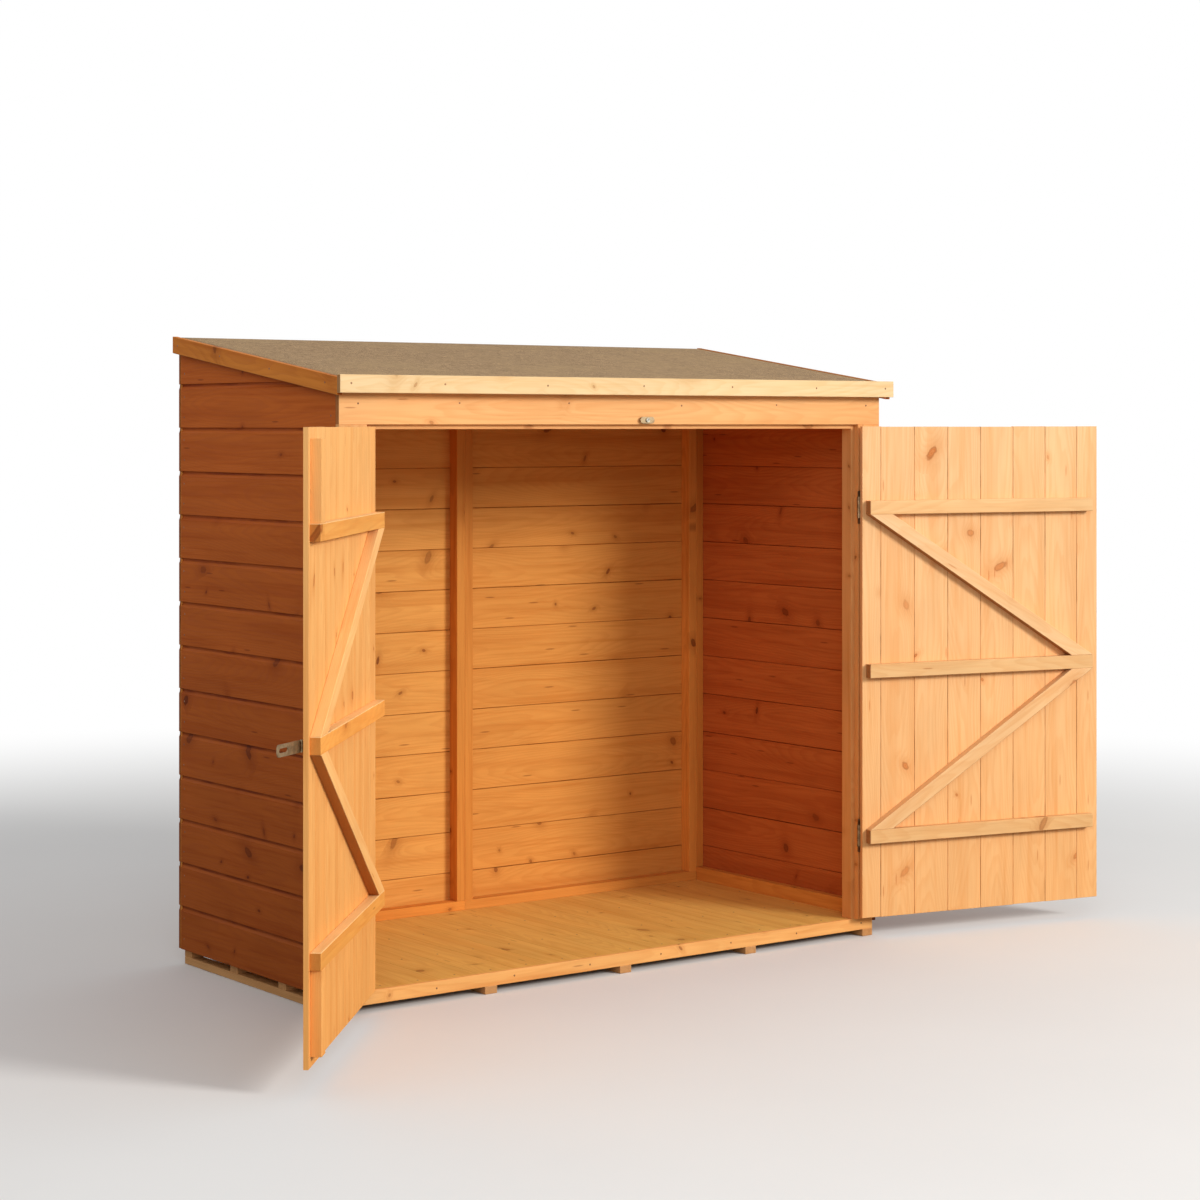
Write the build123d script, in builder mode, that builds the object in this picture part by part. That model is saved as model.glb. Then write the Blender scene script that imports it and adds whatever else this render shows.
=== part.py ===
"""Small shiplap timber bike shelter with a mono-pitch roof and a pair of ledged and braced doors.

Millimetres, +Z up. The origin is on the ground under the middle of the shed. The doors face -Y and
are drawn standing open, each turned about its own hinge pins from the closed position.
"""
import os
from math import cos, radians, sin, sqrt, tan

from build123d import *

os.makedirs("parts", exist_ok=True)

# Overall depth over the wall cladding; the width and the eaves follow from the doors and their surround
depth = 840.0
roof_pitch = 8.0

# Floor
bearer_height = 20.0
bearer_width = 38.0
bearer_count = 5
joist_height = 23.0
joist_width = 38.0
joist_count = 4
deck_thickness = 12.0
floor_edge_thickness = 12.0

# Shiplap wall cladding
cladding_thickness = 12.0
board_cover = 120.0
cove_height = 14.0
cove_depth = 5.0
cladding_lap = 13.0

# Framing timber
stock_thin = 28.0
stock_wide = 40.0
panel_gap = 1.0

# Front
door_width = 825.0
door_height = 1425.0
corner_board_width = 82.5
header_height = 109.0
door_gap = 5.0
sill_gap = 6.0
stop_lap = 7.0
head_lap = 12.0

# Doors
door_board = 12.0
door_cover = 115.0
door_first_board = 62.0
groove_width = 4.0
groove_depth = 2.0
ledge_width = 40.0
ledge_thickness = 26.0
ledge_fractions = (0.165, 0.497, 0.833)
ledge_end_left = 12.0
ledge_end_right = 32.0
left_open_angle = 132.0
right_open_angle = 169.0

# Tee hinges
pin_radius = 2.5
pin_clearance = 0.1
barrel_radius = 5.0
knuckle_length = 20.0
knuckle_gap = 0.5
plate_height = 96.0
plate_width = 36.0
plate_corner = 4.0
leaf_thickness = 2.5
strap_length = 260.0
strap_root = 34.0
strap_tip = 20.0

# Hasp and staple
hasp_width = 28.0
hasp_leaf_length = 30.0
hasp_edge = 14.0
hasp_thickness = 2.0
hasp_barrel = 4.0
hasp_pin = 1.8
hasp_stand = 6.0
flap_length = 112.0
flap_corner = 8.0
slot_length = 38.0
slot_width = 10.0
slot_centre = 84.0
staple_wire = 5.0
staple_span = 24.0
staple_rise = 20.0
staple_foot = 2.0
staple_bend = 8.0
flap_rest_angle = 17.0

# Turn button
button_length = 48.0
button_width = 18.0
button_thickness = 4.0
button_offset = 55.0
button_rise = 12.0
button_stand = 5.0
button_play = 0.3
screw_radius = 3.0
screw_head_radius = 6.0
screw_head_height = 3.0

# Roof
roof_board = 11.0
felt_thickness = 3.0
fascia_height = 46.0
fascia_thickness = 16.0
overhang_front = 57.0
overhang_side = 20.0
side_fascia_rise = 2.0
front_fascia_rise = 8.0
rafter_count = 3

# Derived positions
door_edge = door_gap / 2 + door_width
facing_edge = door_edge + door_gap
post_edge = door_edge - stop_lap
half = facing_edge + corner_board_width
inner_x = half - cladding_thickness
frame_edge = inner_x - stock_thin
y_front = -depth / 2
y_back = depth / 2
inner_back = y_back - cladding_thickness
deck_z = bearer_height + joist_height + deck_thickness
clad_z = deck_z - cladding_lap
facing = door_board + door_gap
door_z = deck_z + sill_gap
door_top = door_z + door_height
header_z = door_top + door_gap
eaves_height = header_z + header_height
pitch = radians(roof_pitch)
roof_top = (roof_board + felt_thickness) / cos(pitch)
ledge_hinge_end = stop_lap + door_gap
pin_x = door_edge + door_gap / 2
pin_stand = barrel_radius
pin_y = y_front - facing - pin_stand
ledge_heights = [door_top - share * door_height for share in ledge_fractions]


def under(y):
    """Height of the roof's underside at a depth."""
    return eaves_height + (y - y_front) * tan(pitch)


roof_plane = Plane(origin=(0, y_front, eaves_height), z_dir=(0, -sin(pitch), cos(pitch)))


def save(piece, name):
    piece.part.label = name
    export_step(piece.part, f"parts/{name}.step")


def spread(low, high, count):
    """Evenly spaced positions from low to high."""
    return [low + (high - low) * k / (count - 1) for k in range(count)]


# Floor: bearers run front to back on the ground, joists run across them, deck boards on top
bearer_x = inner_x - bearer_width / 2
floor_length = inner_back - y_front
with BuildPart() as bearers:
    with BuildSketch(Plane.XY):
        with Locations(*[(x, (y_front + inner_back) / 2) for x in spread(-bearer_x, bearer_x, bearer_count)]):
            Rectangle(bearer_width, floor_length)
    extrude(amount=bearer_height)
save(bearers, "floor_bearers")

joist_front = y_front + floor_edge_thickness + joist_width / 2
joist_back = inner_back - joist_width / 2
with BuildPart() as joists:
    with BuildSketch(Plane.XY.offset(bearer_height)):
        with Locations(*[(0, y) for y in spread(joist_front, joist_back, joist_count)]):
            Rectangle(2 * inner_x, joist_width)
    extrude(amount=joist_height)
save(joists, "floor_joists")

with BuildPart() as deck:
    with BuildSketch(Plane.XY.offset(bearer_height + joist_height)):
        with Locations((0, (y_front + floor_edge_thickness + inner_back) / 2)):
            Rectangle(2 * inner_x, inner_back - y_front - floor_edge_thickness)
    extrude(amount=deck_thickness)
save(deck, "floor_deck")

with BuildPart() as floor_edge:
    with BuildSketch(Plane.XZ.offset(-y_front)):
        with Locations((0, (bearer_height + deck_z) / 2)):
            Rectangle(2 * inner_x, joist_height + deck_thickness)
    extrude(amount=-floor_edge_thickness)
save(floor_edge, "floor_front_board")


def shiplap(outward, face, low, high):
    """Closed wall section from low to high: flat boards, each with a cove under the next board's edge."""
    inner = face - outward * cladding_thickness
    with BuildLine() as outline:
        start = (face, low)
        z = low
        while z + board_cover < high:
            foot = (face, z + board_cover - cove_height)
            neck = (face - outward * cove_depth, z + board_cover - cove_height * 0.3)
            mid = (face - outward * cove_depth * 0.72, z + board_cover - cove_height * 0.72)
            Line(start, foot)
            ThreePointArc(foot, mid, neck)
            Line(neck, (neck[0], z + board_cover))
            Line((neck[0], z + board_cover), (face, z + board_cover))
            z += board_cover
            start = (face, z)
        Line(start, (face, high))
        Line((face, high), (inner, high))
        Line((inner, high), (inner, low))
        Line((inner, low), (face, low))
    return outline.line


def side_cladding(name, side):
    section = shiplap(side, side * half, clad_z, under(y_back) + board_cover)
    with BuildPart() as wall:
        with BuildSketch(Plane.XZ.offset(-y_front)):
            make_face(section.edges())
        extrude(amount=-(inner_back - y_front))
        split(bisect_by=roof_plane, keep=Keep.BOTTOM)
    save(wall, name)


side_cladding("left_wall_cladding", -1)
side_cladding("right_wall_cladding", 1)


def back_cladding(name, x_low, x_high):
    section = shiplap(1, y_back, clad_z, under(y_back) + board_cover)
    with BuildPart() as wall:
        with BuildSketch(Plane.YZ.offset(x_low)):
            make_face(section.edges())
        extrude(amount=x_high - x_low)
        split(bisect_by=roof_plane, keep=Keep.BOTTOM)
    save(wall, name)


back_cladding("back_wall_cladding_left", -half, -panel_gap / 2)
back_cladding("back_wall_cladding_right", panel_gap / 2, half)


def side_frame(side, where):
    """Flat-wise stock inside a side wall: rails above and below, a stud at each end."""
    x_mid = side * (frame_edge + inner_x) / 2
    rail_drop = stock_wide / cos(pitch)
    with BuildPart() as rails:
        with BuildSketch(Plane.YZ.offset(x_mid)):
            with BuildLine():
                Polyline(
                    (y_front, deck_z),
                    (inner_back, deck_z),
                    (inner_back, deck_z + stock_wide),
                    (y_front, deck_z + stock_wide),
                    close=True,
                )
            make_face()
            with BuildLine():
                Polyline(
                    (y_front, under(y_front) - rail_drop),
                    (inner_back, under(inner_back) - rail_drop),
                    (inner_back, under(inner_back)),
                    (y_front, under(y_front)),
                    close=True,
                )
            make_face()
        extrude(amount=stock_thin / 2, both=True)
    save(rails, f"{where}_wall_rails")

    with BuildPart() as studs:
        with BuildSketch(Plane.XY.offset(deck_z + stock_wide)):
            with Locations((x_mid, y_front + stock_wide / 2), (x_mid, inner_back - stock_wide / 2)):
                Rectangle(stock_thin, stock_wide)
        extrude(amount=under(y_back))
        split(bisect_by=roof_plane.offset(-stock_wide), keep=Keep.BOTTOM)
    save(studs, f"{where}_wall_studs")


side_frame(-1, "left")
side_frame(1, "right")

# Back wall frames: two panels whose end studs stand side by side in the middle
stud_y = inner_back - stock_wide
head_z = under(stud_y) - stock_thin
with BuildPart() as back_rails:
    with BuildSketch(Plane.YZ.offset(panel_gap / 2)):
        with BuildLine():
            Polyline(
                (stud_y, head_z),
                (inner_back, head_z),
                (inner_back, under(inner_back)),
                (stud_y, under(stud_y)),
                close=True,
            )
        make_face()
        with BuildLine():
            Polyline(
                (stud_y, deck_z),
                (inner_back, deck_z),
                (inner_back, deck_z + stock_thin),
                (stud_y, deck_z + stock_thin),
                close=True,
            )
        make_face()
    extrude(amount=frame_edge - panel_gap / 2)
    mirror(about=Plane.YZ)
save(back_rails, "back_wall_rails")

with BuildPart() as back_studs:
    with BuildSketch(Plane.XY.offset(deck_z + stock_thin)):
        for x in (panel_gap / 2 + stock_thin / 2, frame_edge - stock_thin / 2):
            with Locations((-x, stud_y + stock_wide / 2), (x, stud_y + stock_wide / 2)):
                Rectangle(stock_thin, stock_wide)
    extrude(amount=head_z - deck_z - stock_thin)
save(back_studs, "back_wall_studs")


# Front: posts beside the doors, a stop rail and a top rail between them, and facing boards outside
def front_post(name, side):
    with BuildPart() as post:
        with BuildSketch(Plane.XY.offset(deck_z)):
            with Locations((side * (post_edge + frame_edge) / 2, y_front + stock_wide / 2)):
                Rectangle(frame_edge - post_edge, stock_wide)
        extrude(amount=under(y_back))
        split(bisect_by=roof_plane, keep=Keep.BOTTOM)
    save(post, name)


front_post("front_post_left", -1)
front_post("front_post_right", 1)

stop_z = header_z - head_lap
with BuildPart() as front_rails:
    with BuildSketch(Plane.YZ):
        with BuildLine():
            Polyline(
                (y_front, stop_z),
                (y_front + stock_wide, stop_z),
                (y_front + stock_wide, stop_z + stock_wide),
                (y_front, stop_z + stock_wide),
                close=True,
            )
        make_face()
        with BuildLine():
            Polyline(
                (y_front, eaves_height - stock_wide),
                (y_front + stock_wide, eaves_height - stock_wide),
                (y_front + stock_wide, under(y_front + stock_wide)),
                (y_front, under(y_front)),
                close=True,
            )
        make_face()
    extrude(amount=post_edge, both=True)
save(front_rails, "front_rails")


def corner_board(name, side):
    with BuildPart() as board:
        with BuildSketch(Plane.XZ.offset(-y_front)):
            with Locations((side * (facing_edge + half) / 2, (deck_z + header_z) / 2)):
                Rectangle(corner_board_width, header_z - deck_z)
        extrude(amount=facing)
    save(board, name)


corner_board("corner_board_left", -1)
corner_board("corner_board_right", 1)

with BuildPart() as header:
    with BuildSketch(Plane.YZ):
        with BuildLine():
            Polyline(
                (y_front - facing, header_z),
                (y_front, header_z),
                (y_front, under(y_front)),
                (y_front - facing, under(y_front - facing)),
                close=True,
            )
        make_face()
    extrude(amount=half, both=True)
save(header, "header_board")

# Roof
fascia_x = half + overhang_side - fascia_thickness
roof_y = y_front - overhang_front + fascia_thickness
with BuildPart() as roof_boards:
    with BuildSketch(Plane.YZ):
        with BuildLine():
            Polyline(
                (roof_y, under(roof_y)),
                (y_back, under(y_back)),
                (y_back, under(y_back) + roof_board / cos(pitch)),
                (roof_y, under(roof_y) + roof_board / cos(pitch)),
                close=True,
            )
        make_face()
    extrude(amount=fascia_x, both=True)
save(roof_boards, "roof_boards")

with BuildPart() as felt:
    with BuildSketch(Plane.YZ):
        with BuildLine():
            Polyline(
                (roof_y, under(roof_y) + roof_board / cos(pitch)),
                (y_back, under(y_back) + roof_board / cos(pitch)),
                (y_back, under(y_back) + roof_top),
                (roof_y, under(roof_y) + roof_top),
                close=True,
            )
        make_face()
    extrude(amount=fascia_x, both=True)
save(felt, "roof_felt")

rafter_x = frame_edge - stock_thin / 2
with BuildPart() as rafters:
    for x in spread(-rafter_x, rafter_x, rafter_count + 2)[1:-1]:
        with BuildSketch(Plane.YZ.offset(x)):
            with BuildLine():
                Polyline(
                    (y_front + stock_wide, under(y_front + stock_wide) - stock_wide),
                    (stud_y, under(stud_y) - stock_wide),
                    (stud_y, under(stud_y)),
                    (y_front + stock_wide, under(y_front + stock_wide)),
                    close=True,
                )
            make_face()
        extrude(amount=stock_thin / 2, both=True)
save(rafters, "roof_rafters")


def side_fascia(name, side):
    with BuildPart() as board:
        with BuildSketch(Plane.YZ.offset(side * (fascia_x + fascia_thickness / 2))):
            with BuildLine():
                rise = roof_top + side_fascia_rise
                Polyline(
                    (roof_y, under(roof_y) + rise - fascia_height),
                    (y_back, under(y_back) + rise - fascia_height),
                    (y_back, under(y_back) + rise),
                    (roof_y, under(roof_y) + rise),
                    close=True,
                )
            make_face()
        extrude(amount=fascia_thickness / 2, both=True)
    save(board, name)


side_fascia("fascia_left", -1)
side_fascia("fascia_right", 1)

fascia_top = under(roof_y) + roof_top + front_fascia_rise
with BuildPart() as front_fascia:
    with BuildSketch(Plane.XZ.offset(-roof_y)):
        with Locations((0, fascia_top - fascia_height / 2)):
            Rectangle(2 * (fascia_x + fascia_thickness), fascia_height)
    extrude(amount=fascia_thickness)
save(front_fascia, "fascia_front")


class Leaf:
    """Frame of a hinged leaf: along from its pin to the free edge, and inward, at an opening angle."""

    def __init__(self, side, angle, pin):
        turn = radians(angle)
        self.side = side
        self.pin = Vector(*pin)
        self.along = Vector(-side * cos(turn), -sin(turn), 0)
        self.inward = Vector(-side * sin(turn), cos(turn), 0)

    def face(self, inward):
        """Upright sketch plane, x along the leaf and y up, at a distance inward of the pin."""
        return Plane(self.pin + self.inward * inward, x_dir=self.along, z_dir=self.inward * self.side)

    def level(self, z):
        """Level sketch plane at a height, x along the leaf."""
        return Plane(self.pin + Vector(0, 0, z), x_dir=self.along, z_dir=(0, 0, 1))

    def at(self, along, inward):
        """Point of the level plane at distances along the leaf and inward of the pin."""
        return (along, -self.side * inward)

    def inwards(self, distance):
        """Extrusion amount that goes inward from an upright plane."""
        return self.side * distance


left_leaf = Leaf(-1, left_open_angle, (-pin_x, pin_y, 0))
right_leaf = Leaf(1, right_open_angle, (pin_x, pin_y, 0))
edge = pin_x - door_edge
outer = pin_stand
inner = pin_stand + door_board


def door_boards(name, leaf):
    """Matchboards as one sheet, with a V groove outside at each joint."""
    count = int((door_width - door_first_board) / door_cover)
    outline = [(edge, outer)]
    for k in range(count + 1):
        joint = edge + door_first_board + k * door_cover
        if joint + groove_width < edge + door_width:
            outline += [
                (joint - groove_width / 2, outer),
                (joint, outer + groove_depth),
                (joint + groove_width / 2, outer),
            ]
    outline += [(edge + door_width, outer), (edge + door_width, inner), (edge, inner)]
    with BuildPart() as sheet:
        with BuildSketch(leaf.level(door_z)):
            with BuildLine():
                Polyline([leaf.at(x, y) for x, y in outline], close=True)
            make_face()
        extrude(amount=door_height)
    save(sheet, name)


def door_ledges(name, leaf, free_end):
    x_low = edge + ledge_hinge_end
    x_high = edge + door_width - free_end
    with BuildPart() as ledges:
        with BuildSketch(leaf.face(inner)):
            with Locations(*[((x_low + x_high) / 2, z) for z in ledge_heights]):
                Rectangle(x_high - x_low, ledge_width)
        extrude(amount=leaf.inwards(ledge_thickness))
    save(ledges, name)


def brace_corners(x_from, z_from, x_to, z_to):
    """Corners of a brace cut level at both ends."""
    run = x_to - x_from
    drop = abs(z_to - z_from)
    w2 = ledge_width**2
    cut = (sqrt(w2**2 * run**2 + (drop**2 - w2) * w2 * (run**2 + drop**2)) - w2 * run) / (drop**2 - w2)
    return [(x_from, z_from), (x_from + cut, z_from), (x_to, z_to), (x_to - cut, z_to)]


def door_braces(name, leaf, free_end):
    """Each brace runs between two ledges, from the hinge side to the free side of the middle ledge."""
    x_low = edge + ledge_hinge_end
    x_high = edge + door_width - free_end
    top, middle, bottom = ledge_heights
    lap = ledge_width / 2
    with BuildPart() as braces:
        with BuildSketch(leaf.face(inner)):
            for z_hinge, z_free in ((top - lap, middle + lap), (bottom + lap, middle - lap)):
                with BuildLine():
                    Polyline(brace_corners(x_low, z_hinge, x_high, z_free), close=True)
                make_face()
        extrude(amount=leaf.inwards(ledge_thickness))
    save(braces, name)


# Tee hinges behind the top and bottom ledges
hinge_heights = (ledge_heights[0], ledge_heights[2])
barrel_half = knuckle_length * 1.5 + knuckle_gap


def hinge_plates(name, side):
    """Fixed plates on the corner board, each with two knuckles and the pin through them."""
    with BuildPart() as plates:
        for z in hinge_heights:
            with BuildSketch(Plane.XZ.offset(facing - y_front)):
                with Locations((side * (pin_x + plate_width / 2), z)):
                    RectangleRounded(plate_width, plate_height, plate_corner)
            extrude(amount=leaf_thickness)
            for low in (z - barrel_half, z + barrel_half - knuckle_length):
                with BuildSketch(Plane.XY.offset(low)):
                    with Locations((side * pin_x, pin_y)):
                        Circle(barrel_radius)
                extrude(amount=knuckle_length)
            with BuildSketch(Plane.XY.offset(z - knuckle_length / 2 - knuckle_gap)):
                with Locations((side * pin_x, pin_y)):
                    Rectangle(2 * barrel_radius + 2 * knuckle_gap, 2 * barrel_radius + 2 * knuckle_gap)
            extrude(amount=knuckle_length + 2 * knuckle_gap, mode=Mode.SUBTRACT)
            with BuildSketch(Plane.XY.offset(z - barrel_half)):
                with Locations((side * pin_x, pin_y)):
                    Circle(pin_radius)
            extrude(amount=2 * barrel_half)
    save(plates, name)


def hinge_straps(name, leaf):
    """Tapering straps on the door's outer face, each with its knuckle round the pin."""
    with BuildPart() as straps:
        for z in hinge_heights:
            with BuildSketch(leaf.face(outer)):
                with BuildLine():
                    Polyline(
                        (0, z - knuckle_length / 2),
                        (edge + barrel_radius, z - knuckle_length / 2),
                        (edge + barrel_radius, z - strap_root / 2),
                        (strap_length - strap_tip / 2, z - strap_tip / 2),
                        (strap_length, z),
                        (strap_length - strap_tip / 2, z + strap_tip / 2),
                        (edge + barrel_radius, z + strap_root / 2),
                        (edge + barrel_radius, z + knuckle_length / 2),
                        (0, z + knuckle_length / 2),
                        close=True,
                    )
                make_face()
            extrude(amount=-leaf.inwards(leaf_thickness))
            with BuildSketch(leaf.level(z - knuckle_length / 2)):
                Circle(barrel_radius)
            extrude(amount=knuckle_length)
            with BuildSketch(leaf.level(z - knuckle_length / 2)):
                Circle(pin_radius + pin_clearance)
            extrude(amount=knuckle_length, mode=Mode.SUBTRACT)
    save(straps, name)


for where, leaf, free_end in (("left", left_leaf, ledge_end_left), ("right", right_leaf, ledge_end_right)):
    door_boards(f"{where}_door_boards", leaf)
    door_ledges(f"{where}_door_ledges", leaf, free_end)
    door_braces(f"{where}_door_braces", leaf, free_end)
    hinge_plates(f"{where}_hinge_plates", leaf.side)
    hinge_straps(f"{where}_door_straps", leaf)

# Hasp on the left door and staple on the right one, at the middle ledge
hasp_z = ledge_heights[1]
hasp_x = edge + door_width - hasp_edge
hasp_line = outer - hasp_stand
third = hasp_width / 3
with BuildPart() as hasp_leaf:
    with BuildSketch(left_leaf.face(outer)):
        with Locations((hasp_x - hasp_leaf_length / 2, hasp_z)):
            Rectangle(hasp_leaf_length, hasp_width)
    extrude(amount=-left_leaf.inwards(hasp_thickness))
    for low in (-hasp_width / 2, hasp_width / 2 - third):
        with BuildSketch(left_leaf.level(hasp_z + low)):
            with Locations(left_leaf.at(hasp_x, hasp_line)):
                Circle(hasp_barrel)
            with Locations(left_leaf.at(hasp_x - hasp_barrel / 2, hasp_line + hasp_stand / 2)):
                Rectangle(hasp_barrel, hasp_stand)
        extrude(amount=third)
    with BuildSketch(left_leaf.level(hasp_z - hasp_width / 2)):
        with Locations(left_leaf.at(hasp_x, hasp_line)):
            Circle(hasp_pin)
    extrude(amount=hasp_width)
    with BuildSketch(left_leaf.face(outer)):
        with Locations((hasp_x - hasp_barrel / 2, hasp_z)):
            Rectangle(hasp_barrel + 2 * knuckle_gap, third + 2 * knuckle_gap)
    extrude(amount=-left_leaf.inwards(hasp_thickness), mode=Mode.SUBTRACT)
save(hasp_leaf, "hasp_leaf")

flap_pin = left_leaf.pin + left_leaf.along * hasp_x + left_leaf.inward * hasp_line
flap_leaf = Leaf(-1, left_open_angle + flap_rest_angle, flap_pin)
flap_start = hasp_barrel + knuckle_gap
with BuildPart() as hasp_flap:
    with BuildSketch(flap_leaf.face(-hasp_thickness / 2)):
        with Locations(((flap_start + flap_length) / 2, hasp_z)):
            RectangleRounded(flap_length - flap_start, hasp_width, flap_corner)
        with Locations((flap_start, hasp_z)):
            Rectangle(2 * flap_start, third - 2 * knuckle_gap)
        with Locations((slot_centre, hasp_z)):
            SlotOverall(slot_length, slot_width, mode=Mode.SUBTRACT)
    extrude(amount=flap_leaf.inwards(hasp_thickness))
    with BuildSketch(flap_leaf.level(hasp_z - third / 2 + knuckle_gap)):
        Circle(hasp_barrel)
    extrude(amount=third - 2 * knuckle_gap)
    with BuildSketch(flap_leaf.level(hasp_z - third / 2)):
        Circle(hasp_pin + pin_clearance)
    extrude(amount=third, mode=Mode.SUBTRACT)
save(hasp_flap, "hasp_flap")

staple_x = 2 * pin_x - hasp_x - slot_centre
staple_top = outer - staple_rise + staple_wire / 2
with BuildPart() as staple:
    with BuildSketch(right_leaf.face(outer)):
        with Locations((staple_x, hasp_z)):
            RectangleRounded(staple_span + 4 * staple_wire, 4 * staple_wire, staple_wire)
    extrude(amount=-right_leaf.inwards(staple_foot))
    with BuildLine(right_leaf.level(hasp_z)):
        bow = FilletPolyline(
            right_leaf.at(staple_x - staple_span / 2, outer - staple_foot / 2),
            right_leaf.at(staple_x - staple_span / 2, staple_top),
            right_leaf.at(staple_x + staple_span / 2, staple_top),
            right_leaf.at(staple_x + staple_span / 2, outer - staple_foot / 2),
            radius=staple_bend,
        )
    with BuildSketch(Plane(bow @ 0, z_dir=bow % 0)):
        Circle(staple_wire / 2)
    sweep(path=bow)
save(staple, "hasp_staple")

# Turn button on the header board, over the right door's edge
button_z = header_z + button_rise
button_y = y_front - facing - button_stand
with BuildPart() as button:
    with BuildSketch(Plane.XZ.offset(-button_y)):
        with Locations((button_offset, button_z)):
            SlotOverall(button_length, button_width)
            Circle(screw_radius + pin_clearance, mode=Mode.SUBTRACT)
    extrude(amount=button_thickness)
save(button, "turn_button")

head_y = button_y - button_thickness - button_play
with BuildPart() as button_screw:
    with BuildSketch(Plane.XZ.offset(facing - y_front)):
        with Locations((button_offset, button_z)):
            Circle(screw_head_radius)
    extrude(amount=button_stand - button_play)
    with BuildSketch(Plane.XZ.offset(facing - y_front)):
        with Locations((button_offset, button_z)):
            Circle(screw_radius)
    extrude(amount=y_front - facing - head_y)
    with BuildSketch(Plane.XZ.offset(-head_y)):
        with Locations((button_offset, button_z)):
            Circle(screw_head_radius)
    extrude(amount=screw_head_height)
save(button_screw, "turn_button_screw")
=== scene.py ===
"""Small timber bike shelter: shiplap walls, a felted lean-to roof, a boarded floor and two framed doors."""
import random
from itertools import product
from math import atan2, cos, radians, sin, sqrt, tan

import bmesh
import bpy
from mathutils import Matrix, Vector


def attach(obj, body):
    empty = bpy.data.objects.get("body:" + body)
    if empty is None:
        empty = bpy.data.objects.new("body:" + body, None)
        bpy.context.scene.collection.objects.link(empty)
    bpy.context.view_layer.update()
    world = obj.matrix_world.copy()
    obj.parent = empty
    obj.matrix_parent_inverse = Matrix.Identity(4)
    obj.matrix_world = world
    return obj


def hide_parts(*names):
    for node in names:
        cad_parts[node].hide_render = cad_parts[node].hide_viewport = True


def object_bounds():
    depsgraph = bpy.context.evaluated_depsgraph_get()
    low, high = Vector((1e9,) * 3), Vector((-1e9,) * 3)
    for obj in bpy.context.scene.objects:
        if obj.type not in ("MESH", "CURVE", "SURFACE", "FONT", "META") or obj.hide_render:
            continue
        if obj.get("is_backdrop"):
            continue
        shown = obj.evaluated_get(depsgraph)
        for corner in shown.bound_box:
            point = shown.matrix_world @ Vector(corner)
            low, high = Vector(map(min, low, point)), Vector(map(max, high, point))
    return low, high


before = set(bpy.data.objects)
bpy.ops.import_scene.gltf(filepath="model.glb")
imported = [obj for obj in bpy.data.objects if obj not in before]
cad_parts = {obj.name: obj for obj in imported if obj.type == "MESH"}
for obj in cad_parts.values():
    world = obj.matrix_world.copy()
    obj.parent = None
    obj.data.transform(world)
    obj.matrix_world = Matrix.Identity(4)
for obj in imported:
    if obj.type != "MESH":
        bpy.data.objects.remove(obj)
cad_low, cad_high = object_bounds()


# Sizes of the shed, in metres
SIDES = ((-1, "left"), (1, "right"))
HALF = 0.915
FRONT, BACK = -0.420, 0.420
CLADDING = 0.012
INNER_X = HALF - CLADDING
INNER_BACK = BACK - CLADDING
GROUND_BEARER = 0.020
BEARER_WIDE = 0.038
BEARER_X, BEARERS = 0.884, 5
JOIST, JOISTS = 0.023, 4
DECK_Z = 0.055
DECK = 0.012
DECK_BOARD, DECK_START = 0.115, -0.935
FLOOR_EDGE = 0.012
WALL_Z = 0.042
COVER, WALL_BOARDS = 0.120, 14
EAVES = 1.600
PITCH = radians(8)
THIN, WIDE = 0.028, 0.040
RUBBED_EDGE = 0.0021
FRAME_EDGE = INNER_X - THIN
POST_EDGE = 0.8205
FACING_EDGE = 0.8325
FACING = 0.017
HEADER_Z = 1.491
UNCUT_POST, UNCUT_STUD = 1.75, 0.1
STUD_Y = INNER_BACK - WIDE
RAFTER_X = 0.4305
SEAM, HAIR = 0.0005, 0.00002
ROOF_BOARD, ROOF_COVER = 0.011, 0.120
FELT, FELT_TURN_DOWN = 0.003, 0.026
ROOF_Y = -0.461
FASCIA_X = 0.919
FASCIA = 0.016
FASCIA_TALL = 0.046
ROOF_TOP = (ROOF_BOARD + FELT) / cos(PITCH)
PIN_X, PIN_Y = 0.830, -0.442
HINGE_LEAF, STRAP, HASP = 0.0025, 0.0025, 0.002
LEFT_OPEN, RIGHT_OPEN = radians(132), radians(169)
DOOR_Z, DOOR_TALL, DOOR_WIDE = 0.061, 1.425, 0.825
DOOR_EDGE = 0.0025
DOOR_OUT, DOOR_IN = 0.005, 0.017
LEDGE, LEDGE_DEEP = 0.040, 0.026
LEDGE_Z = [DOOR_Z + DOOR_TALL * (1 - share) for share in (0.165, 0.497, 0.833)]
LEDGE_HINGE_END = 0.012
LEDGE_FREE_END = {"left": 0.012, "right": 0.032}
BLOCK_INSET, BLOCK_TOP_GAP, BLOCK_FOOT_GAP = 0.008, 0.026, 0.025
MATCHBOARD = 0.115
FIRST_BOARD = 0.062
DOOR_BOARDS = 8
PLANED = 0.0012


def under(y):
    """Height of the roof's underside."""
    return EAVES + (y - FRONT) * tan(PITCH)


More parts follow.
